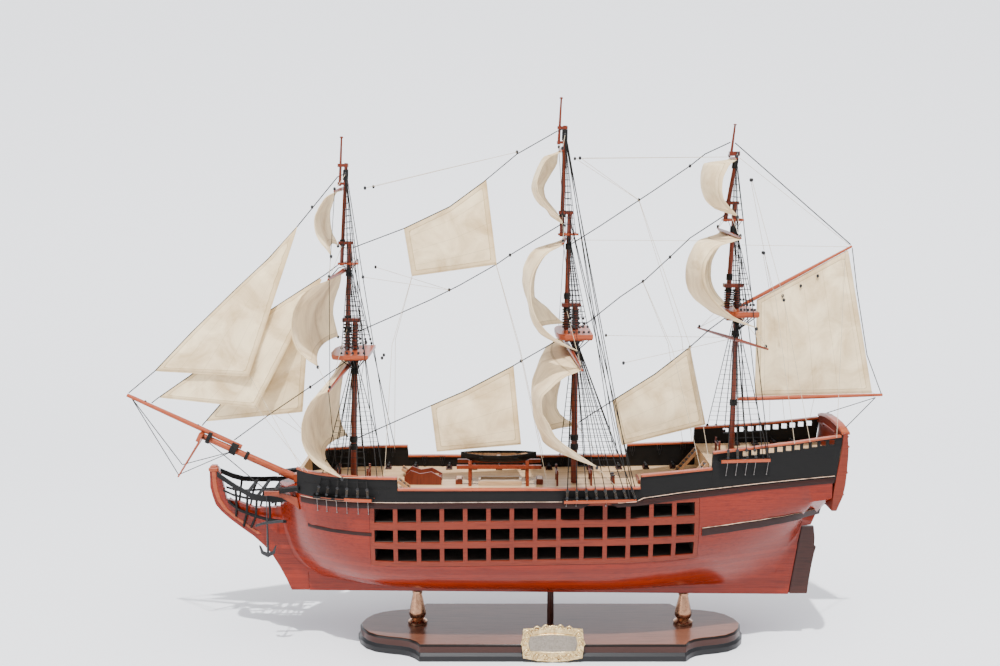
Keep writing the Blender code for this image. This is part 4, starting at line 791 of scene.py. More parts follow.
# %% Dress the masts and spars
for mast, fore, aft, half, under, top in TOPS:
    lower = solid_copy(mast + "_lower_mast", mast + "_lower_stick", "mast_wood",
                       bevel=0.3)
    upper = solid_copy(mast + "_topmast", mast + "_upper_sticks", "mast_wood",
                       bevel=0.2)
    tree_z = row_of(TREES, mast)[1]
    for piece, low, high in ((lower, under - 0.05, top + 0.05), (upper, tree_z - 0.05, tree_z + 3.1)):
        piece.data.materials.append(looks["rail_wood"])
        for polygon in piece.data.polygons:
            x, y, z = polygon.center / MM
            if low < z < high and (abs(y) > 3.0 or abs(polygon.normal.z) > 0.5 or piece is upper):
                polygon.material_index = 1
for row in YARDS:
    solid_copy(row[0], row[0] + "_spar", "spar_wood", angle=60.0)
for node in ("gaff", "spanker_boom", "jib_boom"):
    solid_copy(node, node + "_spar", "rail_wood", angle=60.0)
solid_copy("bowsprit", "bowsprit_spar", "rail_wood", angle=50.0, bevel=0.2)
for label, _ in SIDES:
    solid_copy("anchor_" + label, "hung_anchor_" + label, "iron", bevel=0.25)
boat = solid_copy("ship_boat", "ship_boat_hull", "black_paint", bevel=0.2)
boat.data.materials.append(looks["pale_wood"])
for polygon in boat.data.polygons:
    x, y, z = polygon.center / MM
    middle = 13.0 * (1.0 - abs((x + 56.5) / 40.5) ** 2.6)
    if polygon.normal.z > 0.5 and z < 206.5 and abs(y) < middle - 1.0:
        polygon.material_index = 1
solid_copy("boat_gallows", "gallows_frame", "spar_wood", bevel=0.3)
print("masts and spars dressed")

# %% [markdown]
# ## Sails of cream cotton
# A display model's sails are starched cotton, cut and hemmed by hand and shaped as if full
# of wind. Cloth could be simulated, but starched cloth keeps the form it was dried on, so
# each sail is a fine grid laid on the curved surface that its solid was built on, which is
# given again here, with slight random creases. The edge carries a sewn bolt rope, and a map
# of its true width and height places the seams.

# %% Sail surfaces
# Sails
# name, yard it hangs from, head half width, clew half width, clew z, foot rise
SQUARE_SAILS = (
    ("fore_course", "fore_course_yard", 108.0, 95.0, 206.3, 4.0),
    ("fore_topsail", "fore_topsail_yard", 86.0, 104.0, 320.2, 3.0),
    ("fore_topgallant_sail", "fore_topgallant_yard", 55.0, 78.0, 425.8, 6.0),
    ("main_course", "main_course_yard", 108.0, 95.0, 217.5, 6.0),
    ("main_topsail", "main_topsail_yard", 86.0, 104.0, 334.8, 6.0),
    ("main_topgallant_sail", "main_topgallant_yard", 55.0, 78.0, 456.0, 6.0),
    ("mizzen_topsail", "mizzen_topsail_yard", 62.0, 72.0, 353.4, 8.0),
    ("mizzen_topgallant_sail", "mizzen_topgallant_yard", 43.0, 58.0, 463.5, 6.0),
)
# the x of a sail's port leech, middle and starboard leech, by part of its height
SAIL_CURVES = {
    "fore_course": (
        (0.08, -235.3, -232.3, -231.7),
        (0.18, -242.1, -235.5, -233.4),
        (0.30, -246.8, -241.2, -235.4),
        (0.42, -249.5, -247.6, -237.2),
        (0.55, -249.8, -250.1, -239.0),
        (0.68, -246.8, -250.6, -239.9),
        (0.80, -240.3, -249.2, -239.5),
        (0.90, -230.0, -248.0, -236.8),
        (1.00, -211.8, -242.7, -231.2),
    ),
    "fore_topsail": (
        (0.08, -238.6, -229.0, -233.6),
        (0.18, -247.9, -235.0, -234.0),
        (0.30, -254.2, -243.0, -236.4),
        (0.42, -257.5, -248.5, -240.4),
        (0.55, -258.2, -251.0, -243.7),
        (0.68, -256.5, -252.0, -245.2),
        (0.80, -252.7, -251.0, -243.7),
        (0.90, -244.8, -249.0, -242.2),
        (1.00, -232.0, -245.0, -240.6),
    ),
    "fore_topgallant_sail": (
        (0.08, -227.8, -231.9, -233.5),
        (0.18, -232.0, -234.0, -235.9),
        (0.30, -235.9, -236.7, -238.7),
        (0.42, -238.3, -239.4, -241.4),
        (0.55, -237.8, -240.2, -241.9),
        (0.68, -235.5, -239.9, -241.6),
        (0.80, -231.1, -238.0, -240.2),
        (0.90, -225.3, -235.9, -237.1),
        (1.00, -220.7, -231.8, -235.1),
    ),
    "main_course": (
        (0.08, 5.8, -11.7, 14.0),
        (0.18, -5.1, -16.1, 14.2),
        (0.30, -14.7, -19.0, 15.4),
        (0.42, -14.3, -19.7, 15.8),
        (0.55, -7.3, -19.5, 14.0),
        (0.68, -1.0, -18.7, 10.9),
        (0.80, 12.6, -17.1, 10.2),
        (0.90, 26.4, -13.9, 15.6),
        (1.00, 41.0, -10.2, 33.9),
    ),
    "main_topsail": (
        (0.08, -9.2, -19.7, 3.6),
        (0.18, -17.7, -26.5, -2.9),
        (0.30, -23.5, -31.0, -10.7),
        (0.42, -25.5, -31.9, -15.2),
        (0.55, -24.5, -29.5, -16.5),
        (0.68, -20.2, -25.7, -15.9),
        (0.80, -11.4, -23.8, -2.3),
        (0.90, 1.2, -20.7, 6.6),
        (1.00, 21.1, -15.0, 17.9),
    ),
    "main_topgallant_sail": (
        (0.08, -7.0, -8.6, 7.4),
        (0.18, -12.5, -12.1, 6.9),
        (0.30, -16.2, -16.0, 2.2),
        (0.42, -18.8, -19.2, -2.9),
        (0.55, -17.8, -21.8, -7.1),
        (0.68, -12.2, -19.8, -5.5),
        (0.80, -4.9, -14.4, 0.6),
        (0.90, 2.5, -6.8, 7.0),
        (1.00, 7.5, -2.9, 11.5),
    ),
    "mizzen_topsail": (
        (0.08, 162.0, 151.0, 193.8),
        (0.18, 153.9, 145.3, 187.9),
        (0.30, 148.9, 141.5, 181.5),
        (0.42, 148.1, 140.0, 178.2),
        (0.55, 150.7, 140.3, 178.0),
        (0.68, 157.6, 142.6, 180.6),
        (0.80, 167.8, 148.1, 186.7),
        (0.90, 180.3, 156.4, 195.3),
        (1.00, 200.2, 166.3, 201.5),
    ),
    "mizzen_topgallant_sail": (
        (0.08, 174.3, 156.3, 186.3),
        (0.18, 171.2, 154.0, 182.7),
        (0.30, 167.8, 152.5, 179.8),
        (0.42, 166.4, 152.2, 178.8),
        (0.55, 166.0, 153.0, 178.9),
        (0.68, 167.1, 155.3, 181.6),
        (0.80, 171.0, 158.3, 185.9),
        (0.90, 176.0, 162.3, 190.8),
        (1.00, 181.0, 168.0, 197.6),
    ),
}


def table_value(table, x, column=1):
    """Straight-line reading of one column of a table sorted by its first."""
    if x <= table[0][0]:
        return table[0][column]
    for low, high in zip(table, table[1:]):
        if x <= high[0]:
            part = (x - low[0]) / (high[0] - low[0])
            return low[column] + part * (high[column] - low[column])
    return table[-1][column]


def smooth_value(table, x, column):
    """Monotone cubic reading of one column of a table sorted by its first."""
    count = len(table)
    if x <= table[0][0]:
        return table[0][column]
    if x >= table[-1][0]:
        return table[-1][column]
    k = 0
    while k < count - 2 and x > table[k + 1][0]:
        k += 1

    def slope(i):
        return (table[i + 1][column] - table[i][column]) / (table[i + 1][0] - table[i][0])

    def tangent(i):
        if i == 0:
            return slope(0)
        if i == count - 1:
            return slope(count - 2)
        before, after = slope(i - 1), slope(i)
        if before * after <= 0.0:
            return 0.0
        return 2.0 * before * after / (before + after)

    step = table[k + 1][0] - table[k][0]
    t = (x - table[k][0]) / step
    a, b = table[k][column], table[k + 1][column]
    ta, tb = tangent(k) * step, tangent(k + 1) * step
    return (
        a * (2 * t ** 3 - 3 * t ** 2 + 1)
        + ta * (t ** 3 - 2 * t ** 2 + t)
        + b * (3 * t ** 2 - 2 * t ** 3)
        + tb * (t ** 3 - t ** 2)
    )


def square_sail_surface(row):
    """Point on a square sail; u runs from port to starboard, v from head to foot."""
    name, yard_name, head_half, clew_half, clew_z, rise = row
    yard = row_of(YARDS, yard_name)
    centre, near, _ = yard_line(yard)
    middle_r, tip_r, half = yard[7], yard[8], yard[6]

    def head_at(y):
        reach = abs(y) / half
        radius = middle_r + (tip_r - middle_r) * max(0.0, (reach - 0.1) / 0.9)
        x = centre[0] + (centre[0] - near[0]) * y / half
        return x, centre[2] + (centre[2] - near[2]) * y / half - radius - 0.5

    head = (0.0, head_at(-head_half)[0], centre[0], head_at(head_half)[0])
    curves = (head,) + SAIL_CURVES[name]

    def surface(u, v):
        across = 2.0 * u - 1.0
        y_head, y_foot = across * head_half, across * clew_half
        foot_z = clew_z + rise * (1.0 - across * across)
        head_z = head_at(y_head)[1]
        port = smooth_value(curves, v, 1)
        middle = smooth_value(curves, v, 2)
        starboard = smooth_value(curves, v, 3)
        x = port * (1.0 - u) * (1.0 - 2.0 * u) + starboard * u * (2.0 * u - 1.0)
        x += middle * 4.0 * u * (1.0 - u)
        return x, y_head + (y_foot - y_head) * v, head_z + (foot_z - head_z) * v

    return surface


# name, points of its stay from the upper end down as x and z, the x where the sail's
# edge starts and ends on it, after corner of the head side and of the foot side as x, z, y
STAY_SAILS = (
    ("flying_jib", ((-223.2, 502.0), (-267.8, 448.8), (-297.9, 416.4), (-332.4, 384.9),
                    (-381.4, 338.2), (-421.1, 297.5), (-449.9, 273.9)),
     -269.0, -421.0, (-266.6, 449.6, -0.3), (-319.0, 294.5, -14.0)),
    ("outer_jib", ((-225.5, 409.7), (-237.5, 400.7), (-298.4, 361.6), (-383.0, 293.2),
                   (-419.1, 268.3), (-426.0, 262.9)),
     -245.0, -418.0, (-242.5, 394.5, -0.3), (-313.0, 260.0, -11.0)),
    ("inner_jib", ((-224.3, 407.1), (-373.2, 238.4)),
     -257.5, -369.0, (-256.0, 366.0, 0.3), (-266.9, 252.0, 7.0)),
    ("main_topmast_staysail", ((3.9, 548.4), (-37.4, 525.1), (-71.6, 496.9), (-107.0, 471.1),
                               (-155.2, 448.3), (-209.3, 428.0)),
     -69.5, -155.0, (-58.7, 411.3, -4.0), (-147.2, 398.8, -2.0)),
    ("main_staysail", ((12.3, 334.2), (-43.3, 301.8), (-92.2, 275.9), (-129.6, 259.6),
                       (-177.8, 237.9), (-207.1, 224.8)),
     -41.0, -128.4, (-32.8, 218.9, -4.0), (-122.4, 210.6, -2.0)),
    ("mizzen_staysail", ((182.2, 354.1), (166.7, 342.4), (146.0, 323.2), (109.5, 294.2),
                         (72.7, 270.5), (41.0, 249.9), (28.75, 241.6)),
     145.8, 64.7, (163.5, 240.5, -4.0), (75.4, 217.6, -2.0)),
)


def stay_point(path, x):
    return table_value(sorted(path), x)


# name, points as x and z
BARE_STAYS = (
    ("fore_stay", ((-218.6, 307.6), (-250.5, 284.5), (-300.3, 250.9), (-339.4, 222.5))),
    ("main_topmast_stay", ((6.2, 451.1), (-44.5, 420.6), (-58.1, 411.2), (-97.0, 389.1),
                           (-128.7, 373.2), (-204.1, 339.9))),
    ("mizzen_topgallant_stay", ((183.1, 537.2), (157.1, 525.1), (141.8, 512.9),
                                (100.9, 485.1), (49.3, 450.9), (20.3, 432.6))),
    ("mizzen_topmast_stay", ((176.8, 460.4), (143.5, 438.4), (123.0, 418.5), (97.2, 394.4),
                             (71.2, 376.4), (39.9, 351.0), (28.5, 343.3))),
    ("peak_stay", ((187.8, 536.6), (311.6, 431.6))),
)


def stay_sail_surface(row):
    """Point on a fore-and-aft sail; u runs from the stay aft, v from head to foot."""
    name, path, top_x, low_x, top_aft, low_aft = row
    lean = 1.0 if low_aft[2] > 0.0 else -1.0

    def surface(u, v):
        x = top_x + (low_x - top_x) * v
        fore = (x, 0.0, stay_point(path, x))
        leech = [top_aft[i] + (low_aft[i] - top_aft[i]) * v for i in (0, 2, 1)]
        made = [fore[i] + (leech[i] - fore[i]) * u for i in range(3)]
        made[1] += lean * 3.0 * math.sin(math.pi * u) * math.sin(math.pi * v)
        return made

    return surface


GAFF_JAW, GAFF_PEAK = (198.4, 367.0), (313.0, 429.8)
BOOM_JAW, BOOM_END = (197.8, 267.2), (351.8, 271.8)


def spanker_surface(u, v):
    gaff_x = 215.5 + (309.0 - 215.5) * u
    gaff_part = (gaff_x - GAFF_JAW[0]) / (GAFF_PEAK[0] - GAFF_JAW[0])
    gaff_z = GAFF_JAW[1] + (GAFF_PEAK[1] - GAFF_JAW[1]) * gaff_part - 3.2 + 0.8 * u
    boom_x = 216.5 + (340.5 - 216.5) * u
    boom_part = (boom_x - BOOM_JAW[0]) / (BOOM_END[0] - BOOM_JAW[0])
    boom_z = BOOM_JAW[1] + (BOOM_END[1] - BOOM_JAW[1]) * boom_part + 2.9 - 0.6 * u
    bulge = -5.0 * math.sin(math.pi * u) * math.sin(math.pi * v)
    return gaff_x + (boom_x - gaff_x) * v, bulge, gaff_z + (boom_z - gaff_z) * v


print("square sails", len(SQUARE_SAILS), "stay sails", len(STAY_SAILS))

# %% Cut and hang the sails
def crease(point, u, v, seed, amount):
    held = min(1.0, 6.0 * min(v, 1.0 - v), 6.0 * min(u, 1.0 - u))
    spot = Vector(point) * 0.028 + Vector((seed * 7.3, seed * 3.1, seed * 5.7))
    return noise.noise(spot) * amount * held


def hang_sail(name, node, surface, across, down, seed, amount=1.6):
    shape = bmesh.new()
    bmesh.ops.create_grid(shape, x_segments=across, y_segments=down, size=0.5,
                          calc_uvs=False)
    cloth = shape.loops.layers.uv.new("cloth_map")
    edge = shape.verts.layers.float.new("edge_mm")
    place = {vert: (vert.co.x + 0.5, vert.co.y + 0.5) for vert in shape.verts}

    def span(points):
        return sum((Vector(b) - Vector(a)).length for a, b in zip(points, points[1:]))

    rows = steps(0.0, 1.0, 12)
    widths = [span([surface(u, v) for u in rows]) for v in rows]
    lengths = [span([surface(u, v) for v in rows]) for u in rows]
    wide = max(widths)
    for vert, (u, v) in place.items():
        point = Vector(surface(u, v))
        along = Vector(surface(min(u + 0.01, 1.0), v)) - Vector(surface(max(u - 0.01, 0.0), v))
        falls = Vector(surface(u, min(v + 0.01, 1.0))) - Vector(surface(u, max(v - 0.01, 0.0)))
        out = along.cross(falls)
        if out.length > 1e-6:
            point += out.normalized() * crease(point, u, v, seed, amount)
        vert.co = mm(*point)
        here_wide = widths[round(v * 12)]
        here_long = lengths[round(u * 12)]
        vert[edge] = min(u * here_wide, (1.0 - u) * here_wide, v * here_long, (1.0 - v) * here_long)
    for face in shape.faces:
        face.smooth = True
        for loop in face.loops:
            u, v = place[loop.vert]
            loop[cloth].uv = ((u - 0.5) * wide * 0.01, v * max(lengths) * 0.01)
    area = sum(face.calc_area() for face in shape.faces)
    mesh = bpy.data.meshes.new(name)
    shape.to_mesh(mesh)
    shape.free()
    piece = add_piece(name, mesh, "canvas")
    body = piece.modifiers.new("cloth_thickness", "SOLIDIFY")
    body.thickness = 0.5 * MM
    body.offset = 0.0
    rim = [surface(u, 0.0) for u in steps(0.0, 1.0, 16)]
    rim += [surface(1.0, v) for v in steps(0.0, 1.0, 16)][1:]
    rim += [surface(u, 1.0) for u in steps(1.0, 0.0, 16)][1:]
    rim += [surface(0.0, v) for v in steps(1.0, 0.0, 16)][1:]
    bolt = ropes(name + "_bolt_rope", [rim], 0.42, "canvas", sides=1)
    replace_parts(piece, node)
    return area


total = 0.0
for seed, row in enumerate(SQUARE_SAILS):
    total += hang_sail(row[0] + "_cloth", row[0], square_sail_surface(row), 44, 40,
                       seed + 1)
for seed, row in enumerate(STAY_SAILS):
    stay_rope = ropes(row[0] + "_stay_rope", [[(x, 0.0, z) for x, z in row[1]]], 0.62, "tarred")
    total += hang_sail(row[0] + "_cloth", row[0], stay_sail_surface(row), 30, 40,
                       seed + 21, amount=1.9)
total += hang_sail("spanker_cloth", "spanker", spanker_surface, 40, 40,
                   41, amount=2.4)
print("sailcloth in all", round(total * 10000.0), "square cm")

# %% [markdown]
# ## Standing rigging
# Masts are held by pairs of tarred shrouds that fan down to the channels, and light
# ratlines make ladders of them. Hundreds of threads could be separate objects, but one
# curve with many straight runs becomes one mesh, so each mast side is a single piece.

# %% Shrouds and ratlines
CHANNEL_FEET = {
    "fore": (179.7, (-242.0, -231.8, -221.2, -210.5, -198.8, -188.3)),
    "main": (179.0, (12.5, 22.5, 32.7, 42.8, 52.9, 63.0, 73.0, 82.0)),
    "mizzen": (216.9, (176.5, 186.6, 196.8, 205.9, 219.1)),
}


def ladder_lines(feet, heads, low, high, pitch):
    """Ratlines across a fan of shrouds, from one height to another."""
    lines = []
    z = low
    while z < high:
        line = []
        for foot, head in zip(feet, heads):
            part = (z - foot[2]) / (head[2] - foot[2])
            if 0.0 < part < 1.0:
                line.append(blend(foot, head, part))
        if len(line) > 1:
            lines.append(line)
        z += pitch
    return lines


def shroud_feet(mast, sign):
    level, lengths = CHANNEL_FEET[mast]
    return [(x, sign * (planking(x, level - 1.2) - 1.6), level) for x in lengths]


deadeyes, chains, shroud_count = bmesh.new(), bmesh.new(), 0
eye_cap = Matrix.Rotation(math.radians(90.0), 4, "X")


def put_deadeye(x, y, z, radius=1.75):
    place = Matrix.Translation(mm(x, y, z)) @ eye_cap
    bmesh.ops.create_cone(deadeyes, cap_ends=True, segments=10, radius1=radius * 0.8 * MM,
                          radius2=radius * MM, depth=0.9 * MM,
                          matrix=place @ Matrix.Translation((0.0, 0.0, -0.45 * MM)))
    bmesh.ops.create_cone(deadeyes, cap_ends=True, segments=10, radius1=radius * MM,
                          radius2=radius * 0.8 * MM, depth=0.9 * MM,
                          matrix=place @ Matrix.Translation((0.0, 0.0, 0.45 * MM)))


for mast, fore, aft, half, under, top in TOPS:
    for label, sign in SIDES:
        feet = shroud_feet(mast, sign)
        mast_x, mast_r = mast_at(LOWER_MASTS, mast, under)
        heads = [(mast_x - 1.5 + 0.5 * i, sign * (mast_r + 0.3), under - 1.0 - 0.7 * i)
                 for i in range(len(feet))]
        lines = [[blend(foot, head, 9.5 / (head[2] - foot[2])), head]
                 for foot, head in zip(feet, heads)]
        shroud_count += len(lines)
        ropes("%s_shrouds_%s" % (mast, label), lines, 0.52, "tarred")
        rungs = ladder_lines(feet, heads, feet[0][2] + 15.0, under - 9.0, 5.6)
        ropes("%s_ratlines_%s" % (mast, label), rungs, 0.22, "tarred")
        lanyards = []
        for foot, head in zip(feet, heads):
            upper = blend(foot, head, 8.5 / (head[2] - foot[2]))
            lower = blend(foot, head, 1.9 / (head[2] - foot[2]))
            put_deadeye(*upper)
            put_deadeye(*lower)
            for shift in (-0.9, 0.0, 0.9):
                lanyards.append([(lower[0] + shift, lower[1] + sign * 0.5, lower[2]),
                                 (upper[0] + shift, upper[1] + sign * 0.5, upper[2])])
            low_z = foot[2] - (8.0 if mast == "main" else 17.5)
            out = planking(foot[0], low_z) + 0.35
            put_rod(chains, (foot[0], foot[1] + sign * 1.3, foot[2] + 0.2),
                    (foot[0] - 0.4, sign * out, low_z), 0.28, 0.28, 6)
            put_rod(chains, (foot[0] - 0.4, sign * (out - 0.6), low_z),
                    (foot[0] - 0.4, sign * (out + 0.7), low_z), 0.65, 0.55, 8)
        ropes("%s_lanyards_%s" % (mast, label), lanyards, 0.13, "waxed")
        # the futtock shrouds under the top, then the topmast and topgallant shrouds
        rim = [(fore + 13.0 + (aft - fore - 17.0) * i / 4.0, sign * (half - 2.2), top + 0.4)
               for i in range(5)]
        futtocks = [[(x, y * 0.985, under), (mast_x + 0.4 * i, sign * (mast_r + 0.2), under - 16.0)]
                    for i, (x, y, z) in enumerate(rim)]
        ropes("%s_futtock_shrouds_%s" % (mast, label), futtocks, 0.55, "tarred")
        tree_z = row_of(TREES, mast)[1]
        tree_x, tree_r = mast_at(TOPMASTS, mast, tree_z)
        heads = [(tree_x - 0.8 + 0.4 * i, sign * (tree_r + 0.25), tree_z - 0.8 - 0.5 * i)
                 for i in range(5)]
        lines = [[blend(foot, head, 0.075), head] for foot, head in zip(rim, heads)]
        lines += ladder_lines(rim, heads, top + 12.0, tree_z - 9.0, 5.4)
        ropes("%s_topmast_shrouds_%s" % (mast, label), lines, 0.42, "tarred")
        for foot, head in zip(rim, heads):
            put_deadeye(*blend(foot, head, 0.02), 1.45)
            put_deadeye(*blend(foot, head, 0.075), 1.45)
        bars = [(tree_x - 4.2, sign * 16.5, tree_z + 3.0), (tree_x + 1.0, sign * 16.0, tree_z + 3.0),
                (tree_x + 6.0, sign * 16.5, tree_z + 3.0)]
        head_z = row_of(GALLANTS, mast)[4] - 9.0
        head_x, head_r = mast_at(GALLANTS, mast, head_z)
        heads = [(head_x, sign * (head_r + 0.2), head_z - 0.7 * i) for i in range(3)]
        lines = [[foot, head] for foot, head in zip(bars, heads)]
        lines += ladder_lines(bars, heads, tree_z + 12.0, head_z - 14.0, 6.5)
        lines += [[(x, y, z - 0.2), (tree_x, sign * (tree_r + 0.2), tree_z - 12.0)]
                  for x, y, z in bars]
        ropes("%s_topgallant_shrouds_%s" % (mast, label), lines, 0.36, "tarred")
finish_shape("deadeyes", deadeyes, "iron", angle=50.0)
finish_shape("chain_plates", chains, "chain", angle=50.0)
print("lower shrouds", shroud_count)

# %% [markdown]
# ## Backstays, stays and the bowsprit's guys
# Long lines run from each masthead to the rail and from mast to mast. They are taut, so
# each one is a straight run between two holds, and the bends follow from blocks lashed to
# the stays. Beads of tarred thread at the mastheads show where the lines are seized.

# %% Backstays, guys and seizings
black_lines, fine_lines = [], []
for label, sign in SIDES:
    for mast, tops, feet_x, level in (
        ("fore", (506.0, 427.0), (-178.0, -171.0), 183.0),
        ("main", (548.0, 543.0, 459.0), (76.0, 80.5, 84.5), 179.5),
        ("mizzen", (519.0, 468.0), (219.0, 213.0), 217.4),
    ):
        for height, x in zip(tops, feet_x):
            table = GALLANTS if height > row_of(TOPMASTS, mast)[4] - 4.0 else TOPMASTS
            head_x, head_r = mast_at(table, mast, height)
            edge = planking(x, level - 1.6)
            black_lines.append([(head_x + 0.4, sign * (head_r + 0.2), height),
                                (x, sign * (edge + 0.1), level)])
    for first, second in (("topgallant", "topsail"), ("topsail", "course")):
        for mast in ("fore", "main"):
            rows = [row_of(YARDS, "%s_%s_yard" % (mast, kind)) for kind in (first, second)]
            ends = [yard_end(row, sign) for row in rows]
            fine_lines.append([blend(ends[0], yard_line(rows[0])[0], 0.06),
                               blend(ends[1], yard_line(rows[1])[0], 0.06)])
    fine_lines.append([yard_end(row_of(YARDS, "fore_course_yard"), sign), (-221.5, sign * 62.0, 204.0)])
    black_lines.append([(344.6, 0.0, 268.8), (296.0, sign * 43.0, 240.0)])
    black_lines.append([(-372.5, sign * 4.4, 227.0), (-292.0, sign * 37.5, 171.5)])
black_lines += [[(-447.8, 0.0, 269.2), (-396.2, 0.0, 196.0)], [(-447.8, 0.0, 269.2), (-400.2, 0.0, 184.2)],
                [(-396.0, 0.0, 195.5), (-345.5, 0.0, 209.0)], [(-400.0, 0.0, 184.6), (-345.5, 0.0, 208.4)],
                [(313.4, 0.0, 428.0), (320.2, 0.0, 383.8), (333.7, 0.0, 314.7), (350.5, 0.0, 273.2)]]
ropes("backstays_and_guys", black_lines, 0.5, "tarred")
ropes("leech_lines", fine_lines, 0.34, "tarred")
for row in BARE_STAYS:
    stay_rope = ropes(row[0] + "_rope", [[(x, 0.0, z) for x, z in row[1]]], 0.62, "tarred")
    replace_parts(stay_rope, row[0])
collars = []
for row in BARE_STAYS + STAY_SAILS:
    head = row[1][0]
    for sign in (-1.0, 1.0):
        table = None
        for candidate in (LOWER_MASTS, TOPMASTS, GALLANTS):
            for mast_row in candidate:
                if mast_row[2] < head[1] < mast_row[4]:
                    x, r = mast_at(candidate, mast_row[0], head[1])
                    if abs(x - head[0]) < 26.0 and (table is None or abs(x - head[0]) < table[0]):
                        table = (abs(x - head[0]), x, r)
        if table:
            collars.append([(head[0], 0.0, head[1]), (table[1], sign * (table[2] + 0.4), head[1] + 3.0),
                            (table[1] + table[2] + 0.4, 0.0, head[1] + 3.4)])
ropes("stay_collars", collars, 0.5, "tarred")

wraps = []


def wrap(x, z, radius, turns, slope, pitch=0.8):
    """Turns of thread around a spar whose line rises by slope for each step aft."""
    made = []
    length = math.hypot(1.0, slope)
    for i in range(turns * 10 + 1):
        angle = 2.0 * math.pi * i / 10.0
        along = pitch * i / 10.0 - pitch * turns / 2.0
        up = radius * math.cos(angle)
        made.append((x + (along + -slope * up) / length, radius * math.sin(angle),
                     z + (slope * along + up) / length))
    wraps.append(made)


def bowsprit_line(x):
    return 180.0 + (-271.5 - x) * 0.461


for x, turns in ((-340.0, 9), (-326.5, 4), (-366.0, 5)):
    wrap(x, bowsprit_line(x) + (1.8 if x < -335.0 else 0.0), 6.8 if x < -335.0 else 4.6, turns, -0.461)
for name, mast_table, heights in (
    ("fore", GALLANTS, (500.0, 504.0, 432.0)), ("main", GALLANTS, (541.0, 545.0, 462.0)),
    ("mizzen", GALLANTS, (512.0, 516.0, 472.0)), ("fore", TOPMASTS, (400.0, 340.0, 352.0)),
    ("main", TOPMASTS, (428.0, 362.0, 376.0)), ("mizzen", TOPMASTS, (446.0, 384.0, 396.0)),
    ("fore", LOWER_MASTS, (308.0, 296.0, 222.0, 214.0)), ("main", LOWER_MASTS, (328.0, 312.0, 224.0, 214.0)),
    ("mizzen", LOWER_MASTS, (350.0, 336.0, 262.0)),
):
    for z in [height + shift for height in heights for shift in (-1.6, 0.0, 1.6)]:
        x, r = mast_at(mast_table, name, z)
        wraps.append([(x + (r + 0.5) * math.cos(0.6283 * i), (r + 0.5) * math.sin(0.6283 * i),
                       z + 0.08 * i) for i in range(41)])
for name, fore, aft, half, under, top in TOPS:
    head_z = row_of(LOWER_MASTS, name)[4]
    low_x, low_r = mast_at(LOWER_MASTS, name, top + 3.0)
    high_x, high_r = mast_at(TOPMASTS, name, top + 3.0)
    for z in steps(top + 3.0, head_z - 3.0, 7):
        ring = []
        for i in range(13):
            angle = 2.0 * math.pi * i / 12.0
            reach = (low_x - high_x) / 2.0 + low_r + 0.9
            ring.append(((low_x + high_x) / 2.0 + reach * math.cos(angle),
                         (low_r + 0.9) * math.sin(angle), z + 0.9 * math.sin(2.0 * angle)))
        wraps.append(ring)
ropes("seizings", wraps, 0.5, "tarred")
print("black lines", len(black_lines), "seizings", len(wraps))

# %% [markdown]
# ## Running rigging and blocks
# Braces, lifts and sheets work the yards and sails. They are plain cotton, so they show
# pale against the tarred stays. Where a real line turns, a block carries it: a small oval
# shell, here a squashed sphere of few faces because there are many.

